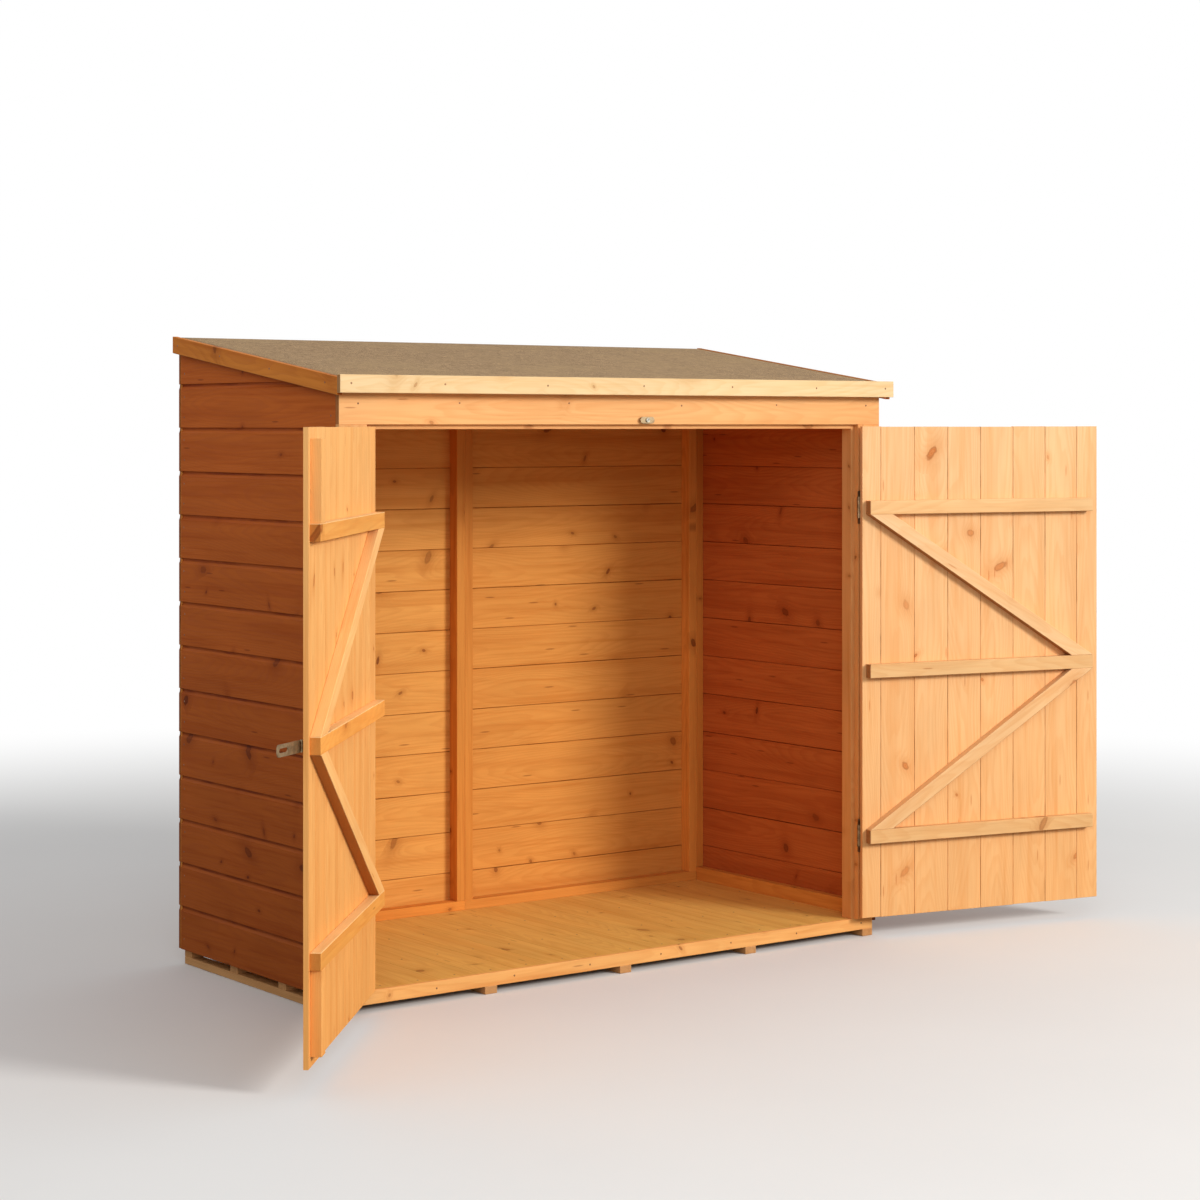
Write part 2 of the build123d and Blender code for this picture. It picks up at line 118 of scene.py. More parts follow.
# Node trees
class Wiring:
    """Adds nodes to a tree and joins their sockets."""

    def __init__(self, tree):
        self.tree = tree

    def feed(self, socket, value):
        """Lead another node's output into the socket, or set it to a plain value."""
        if isinstance(value, bpy.types.NodeSocket):
            self.tree.links.new(value, socket)
        else:
            socket.default_value = value

    def node(self, kind, feeds=None, **settings):
        """A node with its settings, its inputs fed by name or by number."""
        made = self.tree.nodes.new(kind)
        for name, value in settings.items():
            setattr(made, name, value)
        for key, value in (feeds or {}).items():
            self.feed(made.inputs[key], value)
        return made

    def math(self, operation, *values):
        return self.node("ShaderNodeMath", dict(enumerate(values)), operation=operation).outputs[0]

    def plus(self, a, b):
        return self.math("ADD", a, b)

    def minus(self, a, b):
        return self.math("SUBTRACT", a, b)

    def times(self, a, b):
        return self.math("MULTIPLY", a, b)

    def line(self, a, slope, start):
        return self.math("MULTIPLY_ADD", a, slope, start)

    def distance(self, a, b):
        """How far a place is from nought, a one way and b the other."""
        return self.math("SQRT", self.plus(self.times(a, a), self.times(b, b)))

    def vector(self, operation, a, b=None):
        """Vector maths; b is a vector, or a number when the operation is to scale."""
        feeds = {0: a} if b is None else {0: a, "Scale" if operation == "SCALE" else 1: b}
        made = self.node("ShaderNodeVectorMath", feeds, operation=operation)
        return made.outputs["Value" if operation == "LENGTH" else "Vector"]

    def scaled(self, a, number):
        return self.vector("SCALE", a, number)

    def tinted(self, a, b):
        return self.vector("MULTIPLY", a, b)

    def split(self, value):
        return self.node("ShaderNodeSeparateXYZ", {0: value}).outputs

    def join(self, x, y, z):
        return self.node("ShaderNodeCombineXYZ", {0: x, 1: y, 2: z}).outputs[0]

    def place(self):
        """Where a point is on the shed."""
        return self.node("ShaderNodeTexCoord").outputs["Object"]

    def noise(self, vector, scale, detail=2.0, rough=0.5):
        feeds = {"Vector": vector, "Scale": scale, "Detail": detail, "Roughness": rough}
        return self.node("ShaderNodeTexNoise", feeds).outputs["Fac"]

    def cells(self, vector, scale, **settings):
        """Cells of random shapes and colours."""
        return self.node("ShaderNodeTexVoronoi", {"Vector": vector, "Scale": scale}, **settings)

    def ramp(self, value, low, high, out_low=0.0, out_high=1.0, smooth=True):
        feeds = dict(enumerate((value, low, high, out_low, out_high)))
        kind = "SMOOTHSTEP" if smooth else "LINEAR"
        return self.node("ShaderNodeMapRange", feeds, interpolation_type=kind).outputs[0]

    def mix(self, factor, a, b):
        return self.node("ShaderNodeMix", {0: factor, 6: a, 7: b}, data_type="RGBA", clamp_factor=True).outputs[2]

    def random(self, low, high, seed, kind="FLOAT"):
        """A random number or vector for each point or copy."""
        first = 2 if kind == "FLOAT" else 0
        made = self.node("FunctionNodeRandomValue", {first: low, first + 1: high, "Seed": seed}, data_type=kind)
        return made.outputs[first // 2]

    def read(self, name):
        """A vector kept on the points under this name."""
        made = self.node("GeometryNodeInputNamedAttribute", {"Name": name}, data_type="FLOAT_VECTOR")
        return made.outputs["Attribute"]

    def keep(self, geometry, name, value, kind, domain):
        """The geometry with a value kept on it under this name."""
        feeds = {"Geometry": geometry, "Name": name, "Value": value}
        return self.node("GeometryNodeStoreNamedAttribute", feeds, data_type=kind, domain=domain).outputs[0]


def new_group(name, kind, inputs, outputs):
    """A node group with named sockets of each kind; returns it with its wiring, inputs and outputs."""
    group = bpy.data.node_groups.new(name, kind)
    for way, sockets in (("INPUT", inputs), ("OUTPUT", outputs)):
        for socket_kind, labels in sockets.items():
            for label in labels.split(", "):
                group.interface.new_socket(label, in_out=way, socket_type=f"NodeSocket{socket_kind}")
    wiring = Wiring(group)
    return group, wiring, wiring.node("NodeGroupInput").outputs, wiring.node("NodeGroupOutput").inputs


def plain_tree(thing):
    """The emptied node tree of a material or a world."""
    thing.use_nodes = True
    thing.node_tree.nodes.clear()
    return Wiring(thing.node_tree)


def paint(red, green, blue):
    """A colour given as it looks, from 0 to 255."""
    def plain(c):
        c /= 255
        return c / 12.92 if c <= 0.04045 else ((c + 0.055) / 1.055) ** 2.4
    return (plain(red), plain(green), plain(blue), 1.0)


SURFACE = {"Color": "Color", "Float": "Roughness, Height"}
KNOT_CELLS = 6.5
RING_STEP = 0.0041
FLECK_SHARE = 0.06
HALF_TURN = 3.14


def softwood_group():
    """Stained spruce on a board's own width, length and depth: rings, fibres, leaning knots, flecks, dark joints, and
    painted shade and bounce light.
    """
    group, w, given, out = new_group("softwood", "ShaderNodeTree", {
        "Vector": "Grain, Place", "Color": "Early wood, Late wood, Knot wood, Low tint",
        "Float": "Tone, End, Hollow, Worn, Weather, End depth, Thin joints, Knots, Figure",
    }, SURFACE)
    across, along, depth = w.split(given["Grain"])

    def stretched(wide, long, detail, rough):
        """Noise drawn out along the board."""
        return w.noise(w.join(w.times(across, wide), w.times(along, long), w.times(depth, wide)), 1.0, detail, rough)

    # knots: one cell every 150 mm or so, some of them empty, each knot an oval with its own lean
    face = w.join(across, along, 0.0)
    cell = w.cells(face, KNOT_CELLS, voronoi_dimensions="2D")
    w.feed(cell.inputs["Randomness"], 0.85)
    luck = w.split(cell.outputs["Color"])
    away = w.split(w.vector("SUBTRACT", face, cell.outputs["Position"]))
    other_luck = w.math("FRACT", w.times(luck[0], 7.0))
    branch = w.minus(away[0], w.times(depth, w.line(other_luck, 0.9, 0.6)))
    lean = w.times(luck[2], HALF_TURN)
    cosine, sine = w.math("COSINE", lean), w.math("SINE", lean)
    long_way = w.plus(w.times(branch, cosine), w.times(away[1], sine))
    short_way = w.minus(w.times(away[1], cosine), w.times(branch, sine))
    long_way = w.math("DIVIDE", long_way, w.line(luck[2], 1.5, 1.1))
    size = w.line(w.times(luck[0], luck[0]), 0.0065, 0.0026)
    reach = w.math("DIVIDE", w.distance(long_way, short_way), size)
    reach = w.plus(reach, w.line(w.noise(given["Grain"], 85.0), 0.9, -0.45))
    present = w.math("LESS_THAN", luck[1], given["Knots"])
    dark = w.line(w.times(other_luck, other_luck), 0.50, 0.38)
    core = w.times(w.ramp(reach, 0.55, 1.25, 1.0, 0.0), present)
    core = w.times(core, w.line(w.math("SINE", w.times(reach, 13.0)), 0.14, 0.86))
    rim = w.times(w.times(w.ramp(reach, 0.6, 0.95), w.ramp(reach, 0.95, 1.5, 1.0, 0.0)), present)
    swell = w.times(w.math("POWER", 2.718, w.times(w.times(reach, reach), -0.10)), present)

    # rings round the heart of the tree, which lies behind the face and wanders along the board
    heart_x = w.line(w.noise(w.join(0.0, along, 3.1), 1.1, 1.0), 0.16, -0.08)
    heart_z = w.line(w.noise(w.join(5.7, along, 0.0), 0.7, 1.0), -0.14, -0.020)
    radius = w.distance(w.minus(across, heart_x), w.minus(depth, heart_z))
    radius = w.plus(radius, w.line(stretched(22.0, 2.0, 2.0, 0.5), 0.014, -0.007))
    radius = w.plus(radius, w.times(swell, 0.009))
    ring = w.math("FRACT", w.math("DIVIDE", radius, RING_STEP))
    late = w.times(w.ramp(ring, 0.25, 0.85), w.ramp(ring, 0.88, 1.0, 1.0, 0.0))

    fibre = stretched(620.0, 11.0, 3.0, 0.6)
    streak = stretched(75.0, 2.6, 4.0, 0.62)
    band = stretched(24.0, 0.9, 2.0, 0.5)
    patch = stretched(8.0, 3.0, 3.0, 0.55)

    # short dark flecks along the grain
    fleck = w.cells(w.join(w.times(across, 46.0), w.times(along, 5.5), 0.0), 1.0, voronoi_dimensions="2D")
    picked = w.math("LESS_THAN", w.split(fleck.outputs["Color"])[0], FLECK_SHARE)
    mark = w.times(w.ramp(fleck.outputs["Distance"], 0.05, 0.13, 1.0, 0.0), picked)

    wood, late_wood, knot_wood = given["Early wood"], given["Late wood"], given["Knot wood"]
    for share, darker in (
        (w.times(late, given["Figure"]), late_wood),
        (w.times(w.ramp(streak, 0.46, 0.74), 0.55), late_wood),
        (w.times(w.ramp(band, 0.45, 0.72), 0.45), late_wood),
        (w.times(swell, 0.45), late_wood),
        (w.times(swell, 0.20), knot_wood),
        (w.times(core, dark), knot_wood),
        (w.times(rim, w.line(other_luck, 0.45, 0.20)), w.scaled(knot_wood, 0.65)),
        (w.times(mark, 0.50), knot_wood),
    ):
        wood = w.mix(share, wood, darker)
    shade = w.plus(w.line(patch, 0.26, 0.87), w.line(fibre, 0.16, -0.08))
    shade = w.times(shade, w.line(given["Tone"], 0.085, 1.0))
    colour = w.scaled(wood, shade)
    # end faces are darker; faces that look down carry the same value, as painted shade
    colour = w.mix(w.times(given["End"], given["End depth"]), colour, w.tinted(colour, (0.52, 0.37, 0.27)))

    # some boards are redder and some yellower; low down the colour takes the low tint, painted shade on the walls and
    # painted warm light bounced off the ground elsewhere
    hue = w.line(w.math("FRACT", w.times(given["Tone"], 5.3)), 2.0, -1.0)
    colour = w.tinted(colour, w.join(1.0, w.line(hue, 0.055, 1.0), w.line(hue, 0.12, 1.0)))
    height_up = w.plus(w.split(given["Place"])[2], w.line(w.noise(given["Place"], 3.0, 3.0), 0.3, -0.15))
    low = w.ramp(height_up, 0.0, 1.55, 1.0, 0.0, smooth=False)
    colour = w.mix(low, colour, w.tinted(colour, given["Low tint"]))
    # outside faces are darker and redder, part weathering and part painted shade, and darker still low down
    aged_and_shaded = w.scaled(w.tinted(colour, (0.88, 0.70, 0.46)), w.line(low, -0.32, 1.06))
    colour = w.mix(given["Weather"], colour, aged_and_shaded)

    # stain lies thick in joints and thin on rubbed edges; in the shiplap coves this darkening is also painted shade
    uneven = w.noise(w.join(w.times(across, 20.0), w.times(along, 7.0), 1.7), 1.0, 3.0)
    uneven = w.ramp(uneven, 0.44, 0.64, given["Thin joints"], 1.0)
    thick = w.times(w.ramp(given["Hollow"], 0.0, 0.5), uneven)
    colour = w.mix(thick, colour, w.tinted(colour, (0.52, 0.38, 0.24)))
    colour = w.mix(w.times(given["Worn"], w.ramp(streak, 0.35, 0.65, 0.05, 0.45)), colour, given["Early wood"])
    w.feed(out["Color"], colour)
    w.feed(out["Roughness"], w.plus(w.line(streak, 0.16, 0.60), w.times(late, -0.06)))
    height = w.plus(w.plus(w.times(late, 0.30), w.times(fibre, 0.50)), w.times(core, 0.35))
    w.feed(out["Height"], w.minus(height, w.times(rim, 0.5)))
    return group


def zinc_group():
    """Zinc plating: soft cloudy crystals, fine scratches and dull spots."""
    group, w, given, out = new_group("zinc plating", "ShaderNodeTree", {
        "Vector": "Place", "Color": "Bright, Dull", "Float": "Tarnish",
    }, SURFACE)
    flake = w.split(w.cells(given["Place"], 420.0).outputs["Color"])[0]
    cloud = w.noise(given["Place"], 70.0, 4.0, 0.6)
    fine = w.noise(given["Place"], 1600.0, 2.0, 0.6)
    dull = w.times(w.ramp(cloud, 0.42, 0.66), given["Tarnish"])
    colour = w.mix(dull, given["Bright"], given["Dull"])
    colour = w.scaled(colour, w.line(flake, 0.14, 0.92))
    w.feed(out["Color"], colour)
    w.feed(out["Roughness"], w.plus(w.line(dull, 0.25, 0.30), w.times(flake, 0.10)))
    w.feed(out["Height"], w.line(fine, 0.6, w.times(flake, 0.3)))
    return group


def felt_group():
    """Mineral felt: stone granules of mixed shades pressed in bitumen, with worn and dusty patches."""
    group, w, given, out = new_group("mineral felt", "ShaderNodeTree", {
        "Vector": "Place", "Color": "Light grit, Dark grit, Dust",
    }, SURFACE)
    grit = w.cells(given["Place"], 620.0)
    pick = w.split(grit.outputs["Color"])[0]
    clump = w.noise(given["Place"], 45.0, 4.0, 0.65)
    patch = w.noise(given["Place"], 3.2, 4.0, 0.6)
    mottle = w.noise(given["Place"], 14.0, 3.0, 0.6)
    share = w.plus(w.times(pick, 0.72), w.line(clump, 0.9, -0.34))
    colour = w.mix(w.ramp(share, 0.2, 0.8), given["Dark grit"], given["Light grit"])
    colour = w.mix(w.times(w.ramp(patch, 0.42, 0.70), 0.5), colour, given["Dust"])
    colour = w.scaled(colour, w.line(mottle, 0.24, 0.88))
    w.feed(out["Color"], colour)
    w.feed(out["Roughness"], w.line(pick, 0.12, 0.84))
    w.feed(out["Height"], w.line(clump, 0.5, w.minus(1.0, grit.outputs["Distance"])))
    return group


SOFTWOOD = softwood_group()
ZINC = zinc_group()
FELT_GRIT = felt_group()
BOARD_DATA = ("Grain", "Tone", "End", "Hollow", "Worn", "Weather")


def finish_shader(name, group, bump, distance, values, read=(), metallic=0.0, specular=0.5):
    """A material from one of the groups; read names the inputs that come from the board itself."""
    material = bpy.data.materials.new(name)
    w = plain_tree(material)
    feeds = {"Place": w.place(), **values}
    for label in read:
        data = w.node("ShaderNodeAttribute", attribute_name=label.lower())
        feeds[label] = data.outputs["Vector" if label == "Grain" else "Fac"]
    pattern = w.node("ShaderNodeGroup", feeds, node_tree=group).outputs
    relief = w.node("ShaderNodeBump", {"Strength": bump, "Distance": distance, "Height": pattern["Height"]})
    shader = w.node("ShaderNodeBsdfPrincipled", {
        "Base Color": pattern["Color"], "Roughness": pattern["Roughness"], "Normal": relief.outputs["Normal"],
        "Metallic": metallic, "Specular IOR Level": specular,
    })
    w.node("ShaderNodeOutputMaterial", {"Surface": shader.outputs[0]})
    return material


def timber(name, early, late, knot, low, knots, figure, joints=0.5, ends=1.0):
    """Stained softwood; low is its tint near the ground and knots the share of places that have one."""
    return finish_shader(name, SOFTWOOD, 0.5, 0.0006, {
        "Early wood": paint(*early), "Late wood": paint(*late), "Knot wood": paint(*knot), "Low tint": (*low, 1.0),
        "Knots": knots, "Figure": figure, "Thin joints": joints, "End depth": ends,
    }, BOARD_DATA, specular=0.10)


def plated(name, bright, dull, tarnish, metallic=0.9):
    values = {"Bright": paint(*bright), "Dull": paint(*dull), "Tarnish": tarnish}
    return finish_shader(name, ZINC, 0.25, 0.0002, values, metallic=metallic)


# Low tints near the ground: SHADE on the walls is painted shade, and the bounce tints are painted warm light bounced
# off the ground
PLAIN = (1.0, 1.0, 1.0)
GROUND_BOUNCE_TINT = (1.0, 0.86, 0.66)
MILD_GROUND_BOUNCE_TINT = (1.0, 0.95, 0.86)
SHADE = (0.88, 0.86, 0.84)
wall_timber = timber("left wall boards", (209, 123, 60), (182, 93, 37), (104, 44, 18), SHADE, 0.42, 0.22)
# the right wall's boards are a darker copy of the left wall's, part redder stain and part painted shade
right_wall_shaded_timber = timber("right wall boards, darker for painted shade", (198, 110, 56), (168, 78, 34), (96, 38, 16), SHADE, 0.38, 0.26)
back_timber = timber("back wall boards", (227, 158, 79), (203, 125, 51), (116, 52, 20), PLAIN, 0.36, 0.22)
frame_timber = timber("framing", (226, 153, 73), (198, 119, 49), (116, 58, 25), MILD_GROUND_BOUNCE_TINT, 0.40, 0.30)
door_timber = timber(
    "right door boards", (240, 199, 153), (229, 170, 113), (196, 112, 52), GROUND_BOUNCE_TINT, 0.30, 0.28, joints=0.04)
left_door_timber = timber(
    "left door boards", (245, 188, 120), (232, 157, 84), (184, 98, 42), GROUND_BOUNCE_TINT, 0.32, 0.30, joints=0.04)
ledge_timber = timber(
    "right door ledges", (232, 187, 134), (218, 161, 104), (170, 98, 46), MILD_GROUND_BOUNCE_TINT, 0.28, 0.34, ends=0.85)
left_ledge_timber = timber(
    "left door ledges", (242, 176, 96), (228, 148, 70), (168, 86, 34), GROUND_BOUNCE_TINT, 0.24, 0.34, ends=0.50)
left_brace_timber = timber("left door braces", (240, 195, 136), (231, 168, 102), (196, 116, 58), GROUND_BOUNCE_TINT, 0.02, 0.26)
# the paler tops of the left door's ledges are painted light
left_ledge_top_painted_light = timber(
    "left door ledge tops, painted light", (249, 209, 151), (241, 185, 119), (196, 116, 58), (1.0, 0.90, 0.78), 0.10, 0.26)
header_timber = timber("header and corners", (235, 177, 117), (219, 149, 87), (160, 86, 40), GROUND_BOUNCE_TINT, 0.45, 0.34)
fascia_timber = timber("front fascia", (232, 199, 151), (220, 176, 118), (178, 112, 60), GROUND_BOUNCE_TINT, 0.70, 0.30)
side_timber = timber("side fascias", (226, 139, 56), (200, 107, 37), (118, 52, 20), GROUND_BOUNCE_TINT, 0.45, 0.34)
# the side fascias' top faces are darker: dirt and painted shade
side_fascia_top_dirt_and_shade = timber("side fascia tops, dirt and painted shade", (184, 118, 60), (154, 92, 42), (98, 48, 20), GROUND_BOUNCE_TINT, 0.30, 0.34)
floor_timber = timber("floor boards", (242, 197, 109), (222, 163, 80), (140, 78, 36), PLAIN, 0.30, 0.34)
edge_timber = timber("floor front board", (240, 173, 101), (223, 143, 73), (150, 82, 40), PLAIN, 0.45, 0.30)
base_timber = timber(
    "bearers and joists", (216, 164, 110), (184, 130, 78), (110, 66, 36), PLAIN, 0.35, 0.45, ends=0.35)
# the plating's tan tint is painted reflection of the stained wood and painted shade
zinc = plated("hinge and hasp plating, tinted with painted reflection", (164, 142, 110), (106, 84, 58), 0.6)
nail_zinc = plated("nails and screws", (176, 172, 160), (104, 96, 84), 0.8)
nail_stained = plated("nails under the stain", (150, 96, 58), (92, 54, 30), 0.8, 0.3)
felt_finish = finish_shader("roof felt", FELT_GRIT, 0.5, 0.0008, {
    "Light grit": paint(194, 162, 122), "Dark grit": paint(131, 105, 77), "Dust": paint(175, 146, 106),
}, specular=0.15)


# Making pieces
def add_object(name, mesh):
    made = bpy.data.objects.new(name, mesh)
    bpy.context.scene.collection.objects.link(made)
    return made


def mesh_from(bm, name):
    data = bpy.data.meshes.new(name)
    bm.to_mesh(data)
    bm.free()
    return data


def fit(piece, body, slot, *nodes):
    """Put a finished piece on its body, in the place of the plain ones."""
    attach(piece, body)
    if nodes:
        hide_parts(*nodes)
    return piece


class Timbers:
    """Boards and battens gathered in one mesh, each vertex knowing its place in its own board."""
    END_ON, UPWARD = 0.8, 0.4

    def __init__(self, seed):
        self.chance = random.Random(seed)
        self.mesh = bmesh.new()
        on_points, on_faces = self.mesh.verts.layers, self.mesh.faces.layers
        self.grain = on_points.float_vector.new("grain")
        self.tone, self.hollow, self.weather = (on_points.float.new(name) for name in ("tone", "hollow", "weather"))
        self.end, self.worn = (on_faces.float.new(name) for name in ("end", "worn"))

    def cut(
        self, outline, low, high, place, run="through", soften=0.0008, flat_grain=0.0, hollow=None, weather=None,
        underside=0.0, crown=0,
    ):
        """A piece with the given outline from low to high. The grain runs through it, or in its face.

        Where it is given, hollow says how deep in a joint a point of the outline lies, and weather how
        much of the rain and sun it gets, which also darkens it as painted shade. Underside says how dark the painted
        shade is on faces that look down, and crown which of the piece's materials is on those that look up: a paler
        one for painted light on the left door's ledges, a darker one for dirt and painted shade on the side fascias.
        """
        bm = self.mesh
        bottom = [bm.verts.new((u, v, low)) for u, v in outline]
        top = [bm.verts.new((u, v, high)) for u, v in outline]
        faces = [bm.faces.new(bottom[::-1]), bm.faces.new(top)]
        for k in range(len(outline)):
            n = (k + 1) % len(outline)
            faces.append(bm.faces.new((bottom[k], bottom[n], top[n], top[k])))
        bmesh.ops.recalc_face_normals(bm, faces=faces)
        softened = faces[:2] if run == "through" else faces
        edges = {e for f in softened for e in f.edges}
        made = bmesh.ops.bevel(bm, geom=list(edges), offset=soften, segments=1, affect="EDGES", clamp_overlap=True)
        verts = {v for v in set(bottom + top) | set(made["verts"]) if v.is_valid}
        faces = {f for v in verts for f in v.link_faces}
        verts = {v for f in faces for v in f.verts}
        mid_u = sum(u for u, v in outline) / len(outline)
        mid_v = sum(v for u, v in outline) / len(outline)
        slip = self.chance.uniform(0, 300)
        tone = self.chance.uniform(-1, 1)
        turn = self.chance.choice((-1, 1))
        c, s = cos(flat_grain), sin(flat_grain)
        for f in faces:
            f.normal_update()
            length = abs(f.normal.z) if run == "through" else abs(f.normal.x * c + f.normal.y * s)
            f[self.end] = 1.0 if length > self.END_ON else 0.0
            width = f.calc_area() / max(e.calc_length() for e in f.edges)
            f[self.worn] = 1.0 if width < RUBBED_EDGE and hollow is None else 0.0
        for v in verts:
            u, t, z = v.co
            v[self.hollow] = hollow(u, t) if hollow else 0.0
            v[self.weather] = weather(u, t) if weather else 0.0
            du, dv = u - mid_u, t - mid_v
            if run == "through":
                v[self.grain] = (turn * du, z + slip, dv)
            else:
                v[self.grain] = (turn * (dv * c - du * s), du * c + dv * s + slip, z - low)
            v[self.tone] = tone
        for v in verts:
            v.co = place(*v.co)
        bmesh.ops.recalc_face_normals(bm, faces=[f for f in faces if f.is_valid])
        # faces that look down take the underside value as painted shade; faces that look up take the crown material
        for f in faces:
            if f.is_valid and f.normal.z < -self.UPWARD and underside:
                f[self.end] = underside
            elif f.is_valid and f.normal.z > self.UPWARD:
                f.material_index = crown

    def bar(self, start, end, side, width, thick, **more):
        """A straight batten from start to end; side is the direction of its width."""
        start, end = Vector(start), Vector(end)
        along = (end - start).normalized()
        side = Vector(side).normalized()
        out = side.cross(along)
        chamfer = min(0.0010, thick * 0.1)
        a, b = width / 2, thick / 2
        outline = [
            (-a + chamfer, -b), (a - chamfer, -b), (a, -b + chamfer), (a, b - chamfer),
            (a - chamfer, b), (-a + chamfer, b), (-a, b - chamfer), (-a, -b + chamfer),
        ]
        self.cut(outline, 0.0, (end - start).length, lambda u, v, z: start + side * u + out * v + along * z, **more)

    def level(self, x_from, x_to, y, z, *sizes):
        self.bar((x_from, y, z), (x_to, y, z), *sizes)

    def upright(self, x, y, z_from, z_to, *sizes):
        self.bar((x, y, z_from), (x, y, z_to), *sizes)

    def piece(self, name, *materials):
        made = add_object(name, mesh_from(self.mesh, name))
        for material in materials:
            made.data.materials.append(material)
        return made


def plane_cut(mesh, point, normal, end_grain=1.0):
    """Saw a mesh of boards along a plane, drop the part in front of it and close the cut."""
    bm = bmesh.new()
    bm.from_mesh(mesh)
    end = bm.faces.layers.float.get("end")
    geometry = bm.verts[:] + bm.edges[:] + bm.faces[:]
    done = bmesh.ops.bisect_plane(bm, geom=geometry, dist=1e-6, plane_co=point, plane_no=normal, clear_outer=True)
    edges = [g for g in done["geom_cut"] if isinstance(g, bmesh.types.BMEdge) and g.is_boundary]
    if edges:
        for f in bmesh.ops.holes_fill(bm, edges=edges, sides=0)["faces"]:
            f[end] = end_grain
    bmesh.ops.recalc_face_normals(bm, faces=bm.faces[:])
    bm.to_mesh(mesh)
    bm.free()


# Geometry trees
def rows_tree():
    """Lays copies of one board in a row, each with its own tone and its own stretch of grain."""
    group, w, given, out = new_group("row of boards", "GeometryNodeTree", {
        "Geometry": "Board", "Int": "Count, Seed", "Vector": "Step, Slip", "Material": "Timber",
    }, {"Geometry": "Boards"})
    group.is_modifier = True
    line = w.node("GeometryNodeMeshLine", {"Count": given["Count"], "Offset": given["Step"]}, mode="OFFSET")
    laid = w.node("GeometryNodeInstanceOnPoints", {"Points": line.outputs["Mesh"], "Instance": given["Board"]})
    slip = w.random(w.scaled(given["Slip"], -1.0), given["Slip"], given["Seed"], "FLOAT_VECTOR")
    moved = w.node("GeometryNodeTranslateInstances", {
        "Instances": laid.outputs[0], "Translation": slip, "Local Space": False,
    })
    toned = w.keep(moved.outputs[0], "tone", w.random(-1.0, 1.0, given["Seed"]), "FLOAT", "INSTANCE")
    stretch = w.random((-0.02, 0.0, -0.01), (0.02, 300.0, 0.01), w.plus(given["Seed"], 7.0), "FLOAT_VECTOR")
    shifted = w.keep(toned, "shift", stretch, "FLOAT_VECTOR", "INSTANCE")
    real = w.node("GeometryNodeRealizeInstances", {0: shifted})
    grain = w.vector("ADD", w.read("grain"), w.read("shift"))
    grained = w.keep(real.outputs[0], "grain", grain, "FLOAT_VECTOR", "POINT")
    clean = w.node("GeometryNodeRemoveAttribute", {"Geometry": grained, "Name": "shift"})
    coat = w.node("GeometryNodeSetMaterial", {"Geometry": clean.outputs[0], "Material": given["Timber"]})
    w.feed(out["Boards"], coat.outputs[0])
    return group


def fastener_tree():
    """Sets a copy of a nail or screw head at every marked point, square to its face and turned at random."""
    group, w, given, out = new_group("nails and screws", "GeometryNodeTree", {
        "Geometry": "Marks", "Object": "Head", "Int": "Seed", "Material": "Metal",
    }, {"Geometry": "Heads"})
    group.is_modifier = True
    align = w.node("FunctionNodeAlignRotationToVector", {"Vector": w.read("facing")}, axis="Z")
    spin = w.join(0.0, 0.0, w.random(0.0, 6.283, given["Seed"]))
    turned = w.node("FunctionNodeRotateRotation", {
        "Rotation": align.outputs["Rotation"], "Rotate By": w.node("FunctionNodeEulerToRotation", {0: spin}).outputs[0],
    }, rotation_space="LOCAL")
    head = w.node("GeometryNodeObjectInfo", {"Object": given["Head"]}, transform_space="ORIGINAL")
    placed = w.node("GeometryNodeInstanceOnPoints", {
        "Points": given["Marks"], "Instance": head.outputs["Geometry"], "Rotation": turned.outputs[0],
    })
    real = w.node("GeometryNodeRealizeInstances", {0: placed.outputs[0]})
    coat = w.node("GeometryNodeSetMaterial", {"Geometry": real.outputs[0], "Material": given["Metal"]})
    w.feed(out["Heads"], coat.outputs[0])
    return group


ROWS = rows_tree()
FASTENERS = fastener_tree()


def run_tree(piece, tree, values):
    """Give the piece a tree with its named inputs, and keep what it makes as a plain mesh."""
    modifier = piece.modifiers.new(tree.name, "NODES")
    modifier.node_group = tree
    for socket in tree.interface.items_tree:
        if socket.item_type == "SOCKET" and socket.in_out == "INPUT" and socket.name in values:
            modifier[socket.identifier] = values[socket.name]
    bpy.context.view_layer.update()
    graph = bpy.context.evaluated_depsgraph_get()
    made = bpy.data.meshes.new_from_object(piece.evaluated_get(graph))
    piece.modifiers.clear()
    piece.data = made
    return piece


def row(name, board, count, step, slip, seed, material):
    values = {"Count": count, "Step": step, "Slip": slip, "Seed": seed, "Timber": material}
    return run_tree(board.piece(name), ROWS, values)


# Walls: each board is coved on top outside, grooved below, and tongued into the next one
def shiplap_section():
    neck, foot = COVER - 0.0042, COVER - 0.014
    tongue, groove, gap, eased = COVER + 0.0046, 0.0054, 0.0003, 0.0018
    outline = [
        (gap, 0.0013), (eased, 0.0), (COVER - eased, 0.0), (COVER - gap, 0.0013),
        (COVER - gap, 0.0046), (tongue, 0.0046), (tongue, 0.0069), (neck, 0.0070),
    ]
    centre = Vector((COVER - 0.0012, 0.0160))
    first, last = Vector((neck, 0.0070)) - centre, Vector((foot, CLADDING)) - centre
    for k in range(1, 5):
        share = k / 5
        reach = first.lerp(last, share).normalized() * (first.length * (1 - share) + last.length * share)
        outline.append(tuple(centre + reach))
    outline += [
        (foot, CLADDING), (0.0010, CLADDING), (0.0001, CLADDING - 0.0009), (0.0001, 0.0073),
        (groove, 0.0073), (groove, 0.0042), (gap, 0.0042),
    ]
    return outline


def shiplap_hollow(a, t):
    """The cove and neck outside, darkened as stain pooled there and as painted shade, and the joint inside."""
    if t > 0.0065:
        return min(1.0, max(0.0, (a - COVER + 0.0082) / 0.0045))
    return 1.0 if a < 0.0010 or a > COVER - 0.0010 else 0.0


